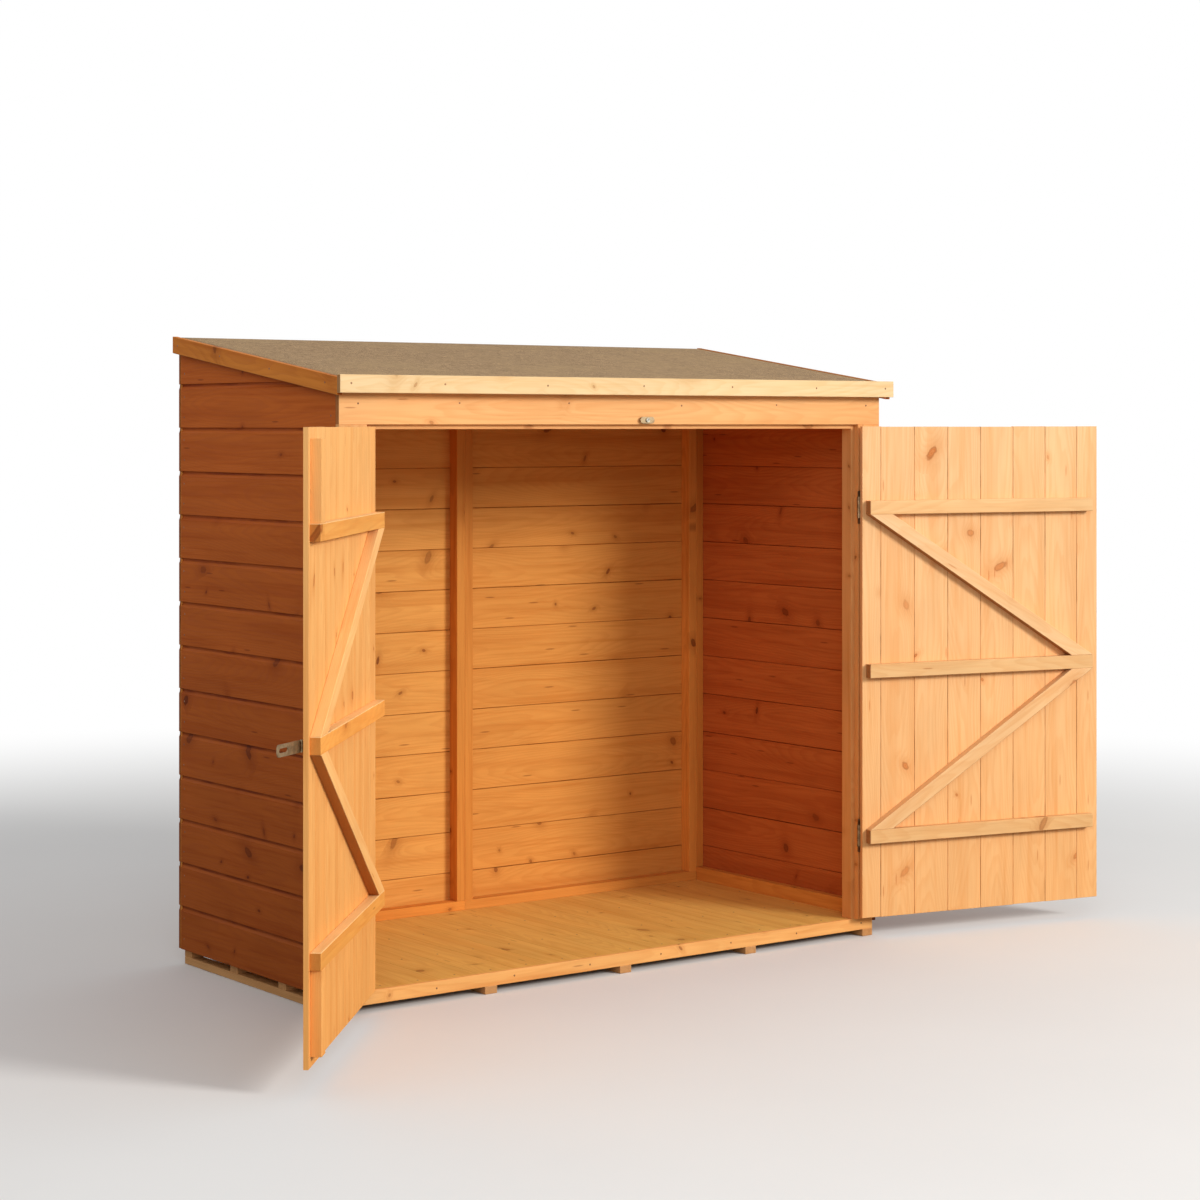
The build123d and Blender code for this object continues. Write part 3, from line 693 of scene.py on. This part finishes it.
def wall_boards(name, length, place, seed, stain):
    board = Timbers(seed)
    # the outside faces get weather: darker and redder, part weathering and part painted shade
    board.cut(
        shiplap_section(), 0.0, length, place, soften=0.0004, hollow=shiplap_hollow,
        weather=lambda a, t: 1.0 if t > 0.0065 else 0.0)
    wall = row(name, board, WALL_BOARDS, (0, 0, COVER), (0.0002, 0.0002, 0.0003), seed, stain)
    plane_cut(wall.data, (0, FRONT, EAVES), (0, -sin(PITCH), cos(PITCH)))
    return wall


for side, word in SIDES:
    wall = wall_boards(
        f"{word}_wall_boards", INNER_BACK - FRONT,
        lambda a, t, l, side=side: Vector((side * (INNER_X + t), FRONT + l, WALL_Z + a)), 11 + side,
        wall_timber if side < 0 else right_wall_shaded_timber)
    fit(wall, "shed", "timber", f"{word}_wall_cladding")
    low = -HALF if side < 0 else SEAM
    wall = wall_boards(
        f"back_wall_boards_{word}", HALF - SEAM,
        lambda a, t, l, low=low: Vector((low + l, INNER_BACK + t, WALL_Z + a)), 21 + side, back_timber)
    fit(wall, "shed", "timber", f"back_wall_cladding_{word}")


# Framing
def dress(node, timbers, finish, *stains, body="shed"):
    """Sawn or planed timbers in the place of a node."""
    return fit(timbers.piece(f"{node}_{finish}", *stains), body, "timber", node)


def side_view(y, z, x):
    """The place of a point of an outline seen from the side."""
    return Vector((x, y, z))


SLOPE = Vector((0, cos(PITCH), sin(PITCH)))
ROOF_OUT = Vector((0, -sin(PITCH), cos(PITCH)))
UP, ACROSS, DEEP = (0, 0, 1), (1, 0, 0), (0, 1, 0)
FRONT_MID, STUD_MID = FRONT + WIDE / 2, STUD_Y + WIDE / 2


def along_roof(y_low, y_high, tall, rise=0.0):
    """The outline of a batten that follows the roof, upright at both ends."""
    low, high = under(y_low) + rise, under(y_high) + rise
    return [(y_low, low - tall), (y_high, high - tall), (y_high, high), (y_low, low)]


def level_below(y_low, y_high, z):
    """The outline of a batten that is level below and meets the roof above."""
    return [(y_low, z), (y_high, z), (y_high, under(y_high)), (y_low, under(y_low))]


def sloped(timbers, x, y_low, y_high):
    outline = along_roof(y_low, y_high, WIDE / cos(PITCH))
    timbers.cut(outline, x - THIN / 2, x + THIN / 2, side_view, run="flat", flat_grain=PITCH)


for side, word in SIDES:
    x = side * (FRAME_EDGE + INNER_X) / 2
    rails = Timbers(31 + side)
    rails.bar((x, FRONT, DECK_Z + WIDE / 2), (x, INNER_BACK, DECK_Z + WIDE / 2), UP, WIDE, THIN)
    sloped(rails, x, FRONT, INNER_BACK)
    dress(f"{word}_wall_rails", rails, "sawn", frame_timber)
    studs = Timbers(41 + side)
    for y in (FRONT_MID, INNER_BACK - WIDE / 2):
        studs.upright(x, y, DECK_Z + WIDE, under(y) + UNCUT_STUD, DEEP, WIDE, THIN)
    studs = dress(f"{word}_wall_studs", studs, "sawn", frame_timber)
    plane_cut(studs.data, Vector((0, FRONT, EAVES)) - ROOF_OUT * (WIDE + 0.0001), ROOF_OUT)

rails, studs = Timbers(51), Timbers(52)
head_z = under(STUD_Y) - THIN
for side in (-1, 1):
    middle, edge = side * HAIR, side * FRAME_EDGE
    rails.level(middle, edge, STUD_MID, DECK_Z + THIN / 2, DEEP, WIDE, THIN)
    rails.cut(level_below(STUD_Y, INNER_BACK, head_z), min(middle, edge), max(middle, edge), side_view)
    for x in (middle + side * THIN / 2, edge - side * THIN / 2):
        studs.upright(x, STUD_MID, DECK_Z + THIN, head_z, DEEP, WIDE, THIN)
dress("back_wall_rails", rails, "sawn", frame_timber)
dress("back_wall_studs", studs, "sawn", frame_timber)

for side, word in SIDES:
    post = Timbers(61 + side)
    x = side * (POST_EDGE + FRAME_EDGE) / 2
    post.upright(x, FRONT_MID, DECK_Z, UNCUT_POST, ACROSS, FRAME_EDGE - POST_EDGE, WIDE)
    post = dress(f"front_post_{word}", post, "planed", header_timber)
    plane_cut(post.data, (0, FRONT, EAVES), ROOF_OUT)
    board = Timbers(71 + side)
    x = side * (FACING_EDGE + HALF) / 2
    board.upright(x, FRONT - FACING / 2, DECK_Z, HEADER_Z, ACROSS, HALF - FACING_EDGE, FACING)
    dress(f"corner_board_{word}", board, "planed", header_timber)

rails = Timbers(81)
rails.level(-POST_EDGE, POST_EDGE, FRONT_MID, HEADER_Z + 0.008, DEEP, WIDE, WIDE)
rails.cut(level_below(FRONT, FRONT + WIDE, EAVES - WIDE), -POST_EDGE, POST_EDGE, side_view)
dress("front_rails", rails, "planed", header_timber)

header = Timbers(83)
face = FRONT - FACING
outline = [
    (HEADER_Z + 0.001, face), (HEADER_Z, face + 0.001), (HEADER_Z, FRONT), (under(FRONT), FRONT), (under(face), face),
]
header.cut(outline, -HALF, HALF, lambda z, y, x: Vector((x, y, z)))
dress("header_board", header, "planed", header_timber)

rafters = Timbers(85)
for x in (-RAFTER_X, 0.0, RAFTER_X):
    sloped(rafters, x, FRONT + WIDE, STUD_Y)
dress("roof_rafters", rafters, "sawn", frame_timber)


# Floor
bearers, joists, edge_board = Timbers(91), Timbers(92), Timbers(93)
for k in range(BEARERS):
    x = -BEARER_X + 2 * BEARER_X * k / (BEARERS - 1)
    z = GROUND_BEARER / 2
    bearers.bar((x, FRONT, z), (x, INNER_BACK, z), ACROSS, BEARER_WIDE, GROUND_BEARER)
dress("floor_bearers", bearers, "sawn", base_timber)
deck_front = FRONT + FLOOR_EDGE
first, last = deck_front + BEARER_WIDE / 2, INNER_BACK - BEARER_WIDE / 2
for k in range(JOISTS):
    y = first + (last - first) * k / (JOISTS - 1)
    joists.level(-INNER_X, INNER_X, y, GROUND_BEARER + JOIST / 2, DEEP, BEARER_WIDE, JOIST)
dress("floor_joists", joists, "sawn", base_timber)
z = (GROUND_BEARER + DECK_Z) / 2
edge_board.level(-INNER_X, INNER_X, FRONT + FLOOR_EDGE / 2, z, UP, DECK_Z - GROUND_BEARER, FLOOR_EDGE)
dress("floor_front_board", edge_board, "planed", edge_timber)


def matchboard_section(width, thick, groove, back_groove):
    """A tongued and grooved board, with a V on its face side and a smaller one behind."""
    gap, tongue = 0.00015, width + 0.0045
    return [
        (groove, 0.0), (width - groove, 0.0), (width - gap, groove), (width - gap, thick * 0.36),
        (tongue, thick * 0.38), (tongue, thick * 0.62), (width - gap, thick * 0.64),
        (width - gap, thick - back_groove), (width - back_groove, thick), (back_groove, thick),
        (gap, thick - back_groove), (gap, thick * 0.66), (0.005, thick * 0.66), (0.005, thick * 0.34),
        (gap, thick * 0.34), (gap, groove),
    ]


def seam_hollow(width):
    """A matched board's joints, at both edges of the board."""
    return lambda a, t: 1.0 if a < 0.0004 or a > width - 0.0004 else 0.0


deck = Timbers(94)
deck.cut(
    matchboard_section(DECK_BOARD, DECK, 0.0006, 0.0010), 0.0, INNER_BACK - deck_front,
    lambda a, t, l: Vector((DECK_START + a, deck_front + l, DECK_Z - t)), soften=0.0004, hollow=seam_hollow(DECK_BOARD))
deck = row("floor_deck_boards", deck, 17, (DECK_BOARD, 0, 0), (0, 0, 0), 95, floor_timber)
for side in (-1, 1):
    plane_cut(deck.data, (side * INNER_X, 0, 0), (side, 0, 0), 0.0)
fit(deck, "shed", "timber", "floor_deck")


# Roof
roof_length = (BACK - ROOF_Y) / cos(PITCH)
corner = Vector((0, ROOF_Y, under(ROOF_Y)))
boards = Timbers(101)
boards.cut(
    matchboard_section(ROOF_COVER, ROOF_BOARD, 0.0012, 0.0004), -FASCIA_X, FASCIA_X,
    lambda a, t, l: corner + SLOPE * (a - 0.03) + ROOF_OUT * t + Vector((l, 0, 0)), soften=0.0004,
    hollow=seam_hollow(ROOF_COVER))
boards = row("roof_boards_matched", boards, 8, tuple(SLOPE * ROOF_COVER), (0, 0, 0), 102, frame_timber)
plane_cut(boards.data, (0, ROOF_Y, 0), (0, -1, 0), 0.0)
plane_cut(boards.data, (0, BACK, 0), (0, 1, 0), 0.0)
fit(boards, "shed", "timber", "roof_boards")

outline = along_roof(ROOF_Y, BACK, FASCIA_TALL, ROOF_TOP + 0.002)
for side, word in SIDES:
    board = Timbers(111 + side)
    low, high = sorted((side * FASCIA_X, side * (FASCIA_X + FASCIA)))
    # its top face takes the darker fascia-top material: dirt and painted shade
    board.cut(outline, low, high, side_view, run="flat", flat_grain=PITCH, soften=PLANED, crown=1)
    dress(f"fascia_{word}", board, "planed", side_timber, side_fascia_top_dirt_and_shade)

fascia_top = under(ROOF_Y) + ROOF_TOP + 0.008
board = Timbers(131)
reach = FASCIA_X + FASCIA
board.level(-reach, reach, ROOF_Y - FASCIA / 2, fascia_top - FASCIA_TALL / 2, UP, FASCIA_TALL, FASCIA)
dress("fascia_front", board, "planed", fascia_timber)


def roof_felt():
    """One sheet on the roof boards, a little uneven, turned down over the back edge."""
    chance = random.Random(120)
    waves = [(chance.uniform(3, 14), chance.uniform(3, 14), chance.uniform(0, 6.28)) for _ in range(7)]

    def lift(x, s):
        """How far the sheet stands off flat, none at its edges."""
        total = sum(sin(a * x + b * s + c) for a, b, c in waves) / len(waves)
        near_edge = min(1.0, (FASCIA_X - abs(x)) / 0.06) * min(1.0, s / 0.05, (roof_length - s) / 0.05)
        return 0.0012 * (total + 0.5) * max(0.0, near_edge)

    bm = bmesh.new()
    columns, rows = 60, 30
    base = corner + ROOF_OUT * ROOF_BOARD
    layers = []
    for thick in (0.0, FELT):
        sheet = []
        for i in range(columns + 1):
            x = -FASCIA_X + 2 * FASCIA_X * i / columns
            line = []
            for j in range(rows + 1):
                s = roof_length * j / rows
                rise = thick + (lift(x, s) if thick else 0.0)
                line.append(base + SLOPE * s + ROOF_OUT * rise + Vector((x, 0, 0)))
            bend = base + SLOPE * roof_length + Vector((x, 0, 0))
            for k in range(1, 5):
                angle = radians(82) * k / 4
                line.append(bend + ROOF_OUT * thick * cos(angle) + SLOPE * thick * sin(angle))
            wave = 0.0006 * sin(9 * x + 1.3)
            for k in (0.5, 1.0):
                line.append(bend + Vector((0, (thick + wave if thick else 0.0) + 0.0001, -FELT_TURN_DOWN * k)))
            sheet.append([bm.verts.new(p) for p in line])
        layers.append(sheet)
    low, high = layers
    last = len(low[0]) - 1
    for i in range(columns):
        for j in range(last):
            bm.faces.new((high[i][j], high[i + 1][j], high[i + 1][j + 1], high[i][j + 1]))
            bm.faces.new((low[i][j], low[i][j + 1], low[i + 1][j + 1], low[i + 1][j]))
        bm.faces.new((high[i][0], low[i][0], low[i + 1][0], high[i + 1][0]))
        bm.faces.new((high[i][last], high[i + 1][last], low[i + 1][last], low[i][last]))
    for i in (0, columns):
        for j in range(last):
            bm.faces.new((high[i][j], high[i][j + 1], low[i][j + 1], low[i][j]))
    bmesh.ops.remove_doubles(bm, verts=bm.verts[:], dist=HAIR)
    bmesh.ops.recalc_face_normals(bm, faces=bm.faces[:])
    data = mesh_from(bm, "felt")
    for polygon in data.polygons:
        polygon.use_smooth = True
    data.materials.append(felt_finish)
    return add_object("roof_felt_sheet", data)


fit(roof_felt(), "shed", "felt", "roof_felt")


# Doors
def leaf_place(side, angle):
    """From a door's own width, depth and height to the shed."""
    along = Vector((-side * cos(angle), -sin(angle), 0))
    inward = Vector((-side * sin(angle), cos(angle), 0))
    pin = Vector((side * PIN_X, PIN_Y, 0))
    return lambda a, q, z: pin + along * a + inward * q + Vector((0, 0, z))


def brace_outline(x_from, z_from, x_to, z_to):
    """Corners of a brace cut level at both ends."""
    run = x_to - x_from
    drop = abs(z_to - z_from)
    w2 = LEDGE ** 2
    cut = (sqrt(w2 ** 2 * run ** 2 + (drop ** 2 - w2) * w2 * (run ** 2 + drop ** 2)) - w2 * run) / (drop ** 2 - w2)
    return [(x_from, z_from), (x_from + cut, z_from), (x_to, z_to), (x_to - cut, z_to)]


leaves = {}
stains = {
    "left": (left_door_timber, left_brace_timber, (left_ledge_timber, left_ledge_top_painted_light)),
    "right": (door_timber, door_timber, (ledge_timber,)),
}
for side, word, angle in ((-1, "left", LEFT_OPEN), (1, "right", RIGHT_OPEN)):
    place = leaves[word] = leaf_place(side, angle)
    along = place(1, 0, 0) - place(0, 0, 0)
    stain, brace_stain, ledge_stains = stains[word]
    body = f"{word}_door"
    start = DOOR_EDGE + FIRST_BOARD - MATCHBOARD
    boards = Timbers(131 + side)
    boards.cut(
        matchboard_section(MATCHBOARD, DOOR_IN - DOOR_OUT, 0.0030, 0.0015), 0.0008, DOOR_TALL - 0.0008,
        lambda a, t, l, place=place, start=start: place(start + a, DOOR_OUT + t, DOOR_Z + l),
        soften=0.0005, hollow=seam_hollow(MATCHBOARD))
    step, slip = tuple(along * MATCHBOARD), (0, 0, 0.0007)
    boards = row(f"{body}_matchboards", boards, DOOR_BOARDS, step, slip, 133 + side, stain)
    plane_cut(boards.data, place(DOOR_EDGE, 0, 0), -along, 0.0)
    plane_cut(boards.data, place(DOOR_EDGE + DOOR_WIDE, 0, 0), along, 0.0)
    fit(boards, body, "timber", f"{body}_boards")

    x_low = DOOR_EDGE + LEDGE_HINGE_END
    x_high = DOOR_EDGE + DOOR_WIDE - LEDGE_FREE_END[word]

    def face_on(a, z, q, place=place):
        """The place of a point of an outline seen from inside the door."""
        return place(a, q, z)

    # faces that look down are darkened as painted shade; on the left door the tops take a paler material as painted
    # light
    ledges = Timbers(141 + side)
    for z in LEDGE_Z:
        outline = [(x_low, z - LEDGE / 2), (x_high, z - LEDGE / 2), (x_high, z + LEDGE / 2), (x_low, z + LEDGE / 2)]
        ledges.cut(
            outline, DOOR_IN, DOOR_IN + LEDGE_DEEP, face_on, run="flat", soften=PLANED, underside=0.75,
            crown=len(ledge_stains) - 1)
    dress(f"{body}_ledges", ledges, "planed", *ledge_stains, body=body)

    braces = Timbers(151 + side)
    top, middle, bottom = LEDGE_Z
    lap = LEDGE / 2
    for z_hinge, z_free in ((top - lap, middle + lap), (bottom + lap, middle - lap)):
        outline = brace_outline(x_low, z_hinge, x_high, z_free)
        lean = atan2(z_free - z_hinge, x_high - x_low)
        # the braces' faces that look down are darkened as painted shade
        braces.cut(
            outline, DOOR_IN, DOOR_IN + LEDGE_DEEP, face_on, run="flat", soften=PLANED, flat_grain=lean, underside=1.0)
    dress(f"{body}_braces", braces, "planed", brace_stain, body=body)


# Two upright blocks at the free edge of the left door, above its top ledge and below its bottom one
place = leaves["left"]
blocks = Timbers(147)
a = DOOR_EDGE + DOOR_WIDE - LEDGE_FREE_END["left"] - BLOCK_INSET - LEDGE / 2
for low, high in (
    (LEDGE_Z[0] + LEDGE / 2, DOOR_Z + DOOR_TALL - BLOCK_TOP_GAP), (DOOR_Z + BLOCK_FOOT_GAP, LEDGE_Z[2] - LEDGE / 2),
):
    q = DOOR_IN + LEDGE_DEEP / 2
    blocks.bar(place(a, q, low), place(a, q, high), place(1, 0, 0) - place(0, 0, 0), LEDGE, LEDGE_DEEP)
fit(blocks.piece("left_door_edge_blocks_planed", left_door_timber), "left_door", "timber")


# Ironwork keeps its own shape and gets the plating
for node in (
    "left_hinge_plates", "right_hinge_plates", "left_door_straps", "right_door_straps",
    "hasp_leaf", "hasp_flap", "hasp_staple", "turn_button", "turn_button_screw",
):
    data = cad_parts[node].data
    data.materials.clear()
    data.materials.append(nail_zinc if node == "turn_button_screw" else zinc)


# Nails and screws
FLAT_HEAD = -0.0012


def head_mesh(name, rings):
    """A closed head from rings of points, each over the one before."""
    bm = bmesh.new()
    rings = [[bm.verts.new(point) for point in ring] for ring in rings]
    count = len(rings[0])
    for lower, upper in zip(rings, rings[1:]):
        for k in range(count):
            n = (k + 1) % count
            bm.faces.new((lower[k], lower[n], upper[n], upper[k]))
    bm.faces.new(rings[-1])
    bm.faces.new(rings[0][::-1])
    bmesh.ops.recalc_face_normals(bm, faces=bm.faces[:])
    return add_object(name, mesh_from(bm, name))


def circle(radius, z, angles):
    return [(radius * cos(a), radius * sin(a), z) for a in angles]


def nail_head(name, radius, rise, sides=10):
    """A thin round head with a soft rim."""
    angles = [6.28319 * k / sides for k in range(sides)]
    steps = ((radius, FLAT_HEAD), (radius, rise * 0.35), (radius * 0.82, rise * 0.85), (radius * 0.4, rise))
    return head_mesh(name, [circle(r, z, angles) for r, z in steps])


def screw_head(name, radius, rise):
    """A round head with a cross recess."""
    arm, wide = radius * 0.62, radius * 0.16
    cross = [
        (arm, -wide), (arm, wide), (wide, wide), (wide, arm), (-wide, arm), (-wide, wide),
        (-arm, wide), (-arm, -wide), (-wide, -wide), (-wide, -arm), (wide, -arm), (wide, -wide),
    ]
    angles = [atan2(y, x) for x, y in cross]
    steps = ((radius, FLAT_HEAD), (radius, rise * 0.3), (radius * 0.86, rise * 0.85))
    rings = [circle(r, z, angles) for r, z in steps]
    rings.append([(x, y, rise) for x, y in cross])
    rings.append([(x * 0.8, y * 0.8, rise - radius * 0.35) for x, y in cross])
    return head_mesh(name, rings)


heads = {
    "nail": nail_head("nail", 0.0026, 0.0004),
    "clout": nail_head("clout", 0.0048, 0.0009, 12),
    "screw": screw_head("screw", 0.0042, 0.0012),
}


def fasten(name, head, marks, body, seed, metal=nail_zinc):
    """Heads at the marked points; each mark is a place and the way its head faces."""
    data = bpy.data.meshes.new(name)
    data.from_pydata([tuple(p) for p, n in marks], [], [])
    facing = data.attributes.new("facing", "FLOAT_VECTOR", "POINT")
    facing.data.foreach_set("vector", [c for p, n in marks for c in n])
    piece = add_object(name, data)
    run_tree(piece, FASTENERS, {"Head": heads[head], "Seed": seed, "Metal": metal})
    return fit(piece, body, "zinc")


chance = random.Random(160)
LEFT_OUT, FRONT_OUT, BACK_OUT = Vector((-1, 0, 0)), Vector((0, -1, 0)), Vector((0, 1, 0))
NAIL_HEIGHTS = (0.030, 0.085)
NAIL_IN, NAIL_EDGE = 0.020, 0.012
STRAP_END, HASP_START = 0.275, 0.76
HINGE_Z = (LEDGE_Z[0], LEDGE_Z[2])
PLATE_FACE = FRONT - FACING - HINGE_LEAF
marks = []


def near(value, spread=0.003):
    """A measure as a hand finds it."""
    return value + chance.uniform(-spread, spread)


def mark(x, y, z, way):
    marks.append((Vector((x, y, z)), way))


for side, k, y, up in product((-1, 1), range(WALL_BOARDS), (FRONT + NAIL_IN, INNER_BACK - NAIL_IN), NAIL_HEIGHTS):
    z = WALL_Z + COVER * k + up
    if z < under(y) - 0.045:
        mark(side * HALF, near(y), near(z, 0.002), -side * LEFT_OUT)
for k, x, up in product(range(WALL_BOARDS), (-0.861, -0.0145, 0.0145, 0.861), NAIL_HEIGHTS):
    z = WALL_Z + COVER * k + up
    if z < under(BACK) - NAIL_IN:
        mark(near(x), BACK, near(z, 0.002), BACK_OUT)
for side, z in product((-1, 1), (0.10, 0.42, 0.77, 1.12, 1.44)):
    mark(side * near(0.872), FRONT - FACING, near(z), FRONT_OUT)
for x in (-0.86, -0.55, -0.2, 0.18, 0.52, 0.86):
    mark(near(x), FRONT - FACING, near(1.545), FRONT_OUT)
for x in (-0.90, -0.62, -0.3, 0.02, 0.33, 0.64, 0.90):
    mark(near(x), ROOF_Y - FASCIA, near(fascia_top - 0.022, 0.002), FRONT_OUT)
for side, y in product((-1, 1), (-0.40, -0.12, 0.15, 0.39)):
    mark(side * (FASCIA_X + FASCIA), near(y), under(y) + ROOF_TOP - NAIL_IN, -side * LEFT_OUT)
for k, y in product(range(16), (-0.383, -0.131, 0.126, 0.389)):
    x = DECK_START + DECK_BOARD * (k + 0.5)
    if abs(x) < 0.89:
        mark(near(x, 0.004), near(y, 0.0015), DECK_Z, Vector(UP))
for k in range(8):
    mark(near(-0.86 + 0.2457 * k), FRONT, near(0.038, 0.002), FRONT_OUT)
fasten("shed_nails", "nail", marks, "shed", 161, nail_stained)

marks = []
for k in range(19):
    mark(near(-0.885 + 1.77 * k / 18), BACK + FELT + 0.0004, under(BACK) + 0.0045, BACK_OUT)
fasten("felt_nails", "clout", marks, "shed", 163)

marks = []
for side, z in product((-1, 1), HINGE_Z):
    for dx, dz in ((0.012, -0.040), (0.026, -0.040), (0.012, 0.040), (0.026, 0.040), (0.026, 0)):
        mark(side * (PIN_X + dx), PLATE_FACE, z + dz, FRONT_OUT)
fasten("hinge_plate_screws", "screw", marks, "shed", 165)

for side, word in SIDES:
    place = leaves[word]
    out = place(0, -1, 0) - place(0, 0, 0)
    marks = []
    for z, (a, dz) in product(HINGE_Z, ((0.022, 0.009), (0.022, -0.009), (0.095, 0), (0.170, 0), (0.240, 0))):
        mark(*place(a, DOOR_OUT - STRAP, z + dz), out)
    if word == "left":
        for dz in (-0.008, 0.008):
            mark(*place(0.791, DOOR_OUT - HASP, LEDGE_Z[1] + dz), out)
    fasten(f"{word}_strap_screws", "screw", marks, f"{word}_door", 167 + side)
    marks = []
    for z, k, da in product(LEDGE_Z, range(DOOR_BOARDS), (-0.026, 0.026)):
        a = DOOR_EDGE + FIRST_BOARD + MATCHBOARD * (k - 0.5) + da
        inside = NAIL_EDGE < a - DOOR_EDGE < DOOR_WIDE - NAIL_EDGE
        under_iron = a < STRAP_END if z in HINGE_Z else a > HASP_START
        if inside and not under_iron:
            mark(*place(near(a), DOOR_OUT, near(z, 0.004)), out)
    fasten(f"{word}_door_nails", "nail", marks, f"{word}_door", 171 + side)

for head in heads.values():
    bpy.data.objects.remove(head)


# Floor and light
def seen_rays(w):
    """Whether the camera sees a thing directly, and whether directly, mirrored or through something."""
    rays = w.node("ShaderNodeLightPath").outputs
    direct = rays["Is Camera Ray"]
    return direct, w.math("MAXIMUM", w.math("MAXIMUM", direct, rays["Is Glossy Ray"]), rays["Is Transmission Ray"])


def white_ground():
    """Pale ground round the shed that turns to plain white further off."""
    material = bpy.data.materials.new("pale ground")
    w = plain_tree(material)
    direct, seen = seen_rays(w)
    pale = w.mix(w.noise(w.place(), 1.3, 3.0), (0.80, 0.80, 0.80, 1), (0.84, 0.84, 0.84, 1))
    matt = w.node("ShaderNodeBsdfDiffuse", {"Color": w.mix(direct, (0.34, 0.30, 0.24, 1), pale)})
    glow = w.node("ShaderNodeEmission")
    far = w.ramp(w.vector("LENGTH", w.place()), 2.6, 6.0)
    both = w.node("ShaderNodeMixShader", {0: w.times(far, seen), 1: matt.outputs[0], 2: glow.outputs[0]})
    w.node("ShaderNodeOutputMaterial", {"Surface": both.outputs[0]})
    return material


ground_mesh = bmesh.new()
bmesh.ops.create_grid(ground_mesh, x_segments=8, y_segments=8, size=30.0)
for v in ground_mesh.verts:
    v.co.z = -0.0004
data = mesh_from(ground_mesh, "ground")
data.materials.append(white_ground())
ground = add_object("ground", data)
ground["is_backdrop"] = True

world = bpy.data.worlds.new("sky")
bpy.context.scene.world = world
w = plain_tree(world)
backdrop = w.node("ShaderNodeBackground", {"Color": (1, 1, 1, 1), "Strength": w.line(seen_rays(w)[1], 0.42, 0.58)})
w.node("ShaderNodeOutputWorld", {"Surface": backdrop.outputs[0]})


def lamp(name, place, aim, size, power, colour):
    data = bpy.data.lights.new(name, "AREA")
    data.shape = "DISK"
    data.size = size
    data.energy = power
    data.color = colour
    made = add_object(name, data)
    made.location = place
    made.rotation_euler = (Vector(aim) - Vector(place)).to_track_quat("-Z", "Y").to_euler()


lamp("key", (4.5, -10.4, 4.9), (0.0, -0.4, 0.8), 3.4, 980, (1.0, 0.97, 0.92))
lamp("fill", (-5.6, -8.0, 4.6), (0.0, -0.4, 0.8), 5.0, 150, (1.0, 0.98, 0.95))

# Camera, solved from the edges in the photograph
FRAME_PX, FOCAL_PX, HORIZON_PX, SENSOR = 1200, 2644.5, 424.7, 36.0
camera_data = bpy.data.cameras.new("camera")
camera = add_object("camera", camera_data)
bpy.context.scene.camera = camera
camera.location = (-4.3388, -6.1531, 1.4905)
camera.rotation_euler = (radians(90), 0, radians(-36.56))
camera_data.sensor_width = SENSOR
camera_data.lens = FOCAL_PX / FRAME_PX * SENSOR
camera_data.shift_y = (HORIZON_PX - FRAME_PX / 2) / FRAME_PX
camera_data.clip_end = 100

bpy.context.scene.view_settings.view_transform = "Standard"

low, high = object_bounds()
({
    "cad": [list(cad_low), list(cad_high)],
    "visual": [list(low), list(high)],
})
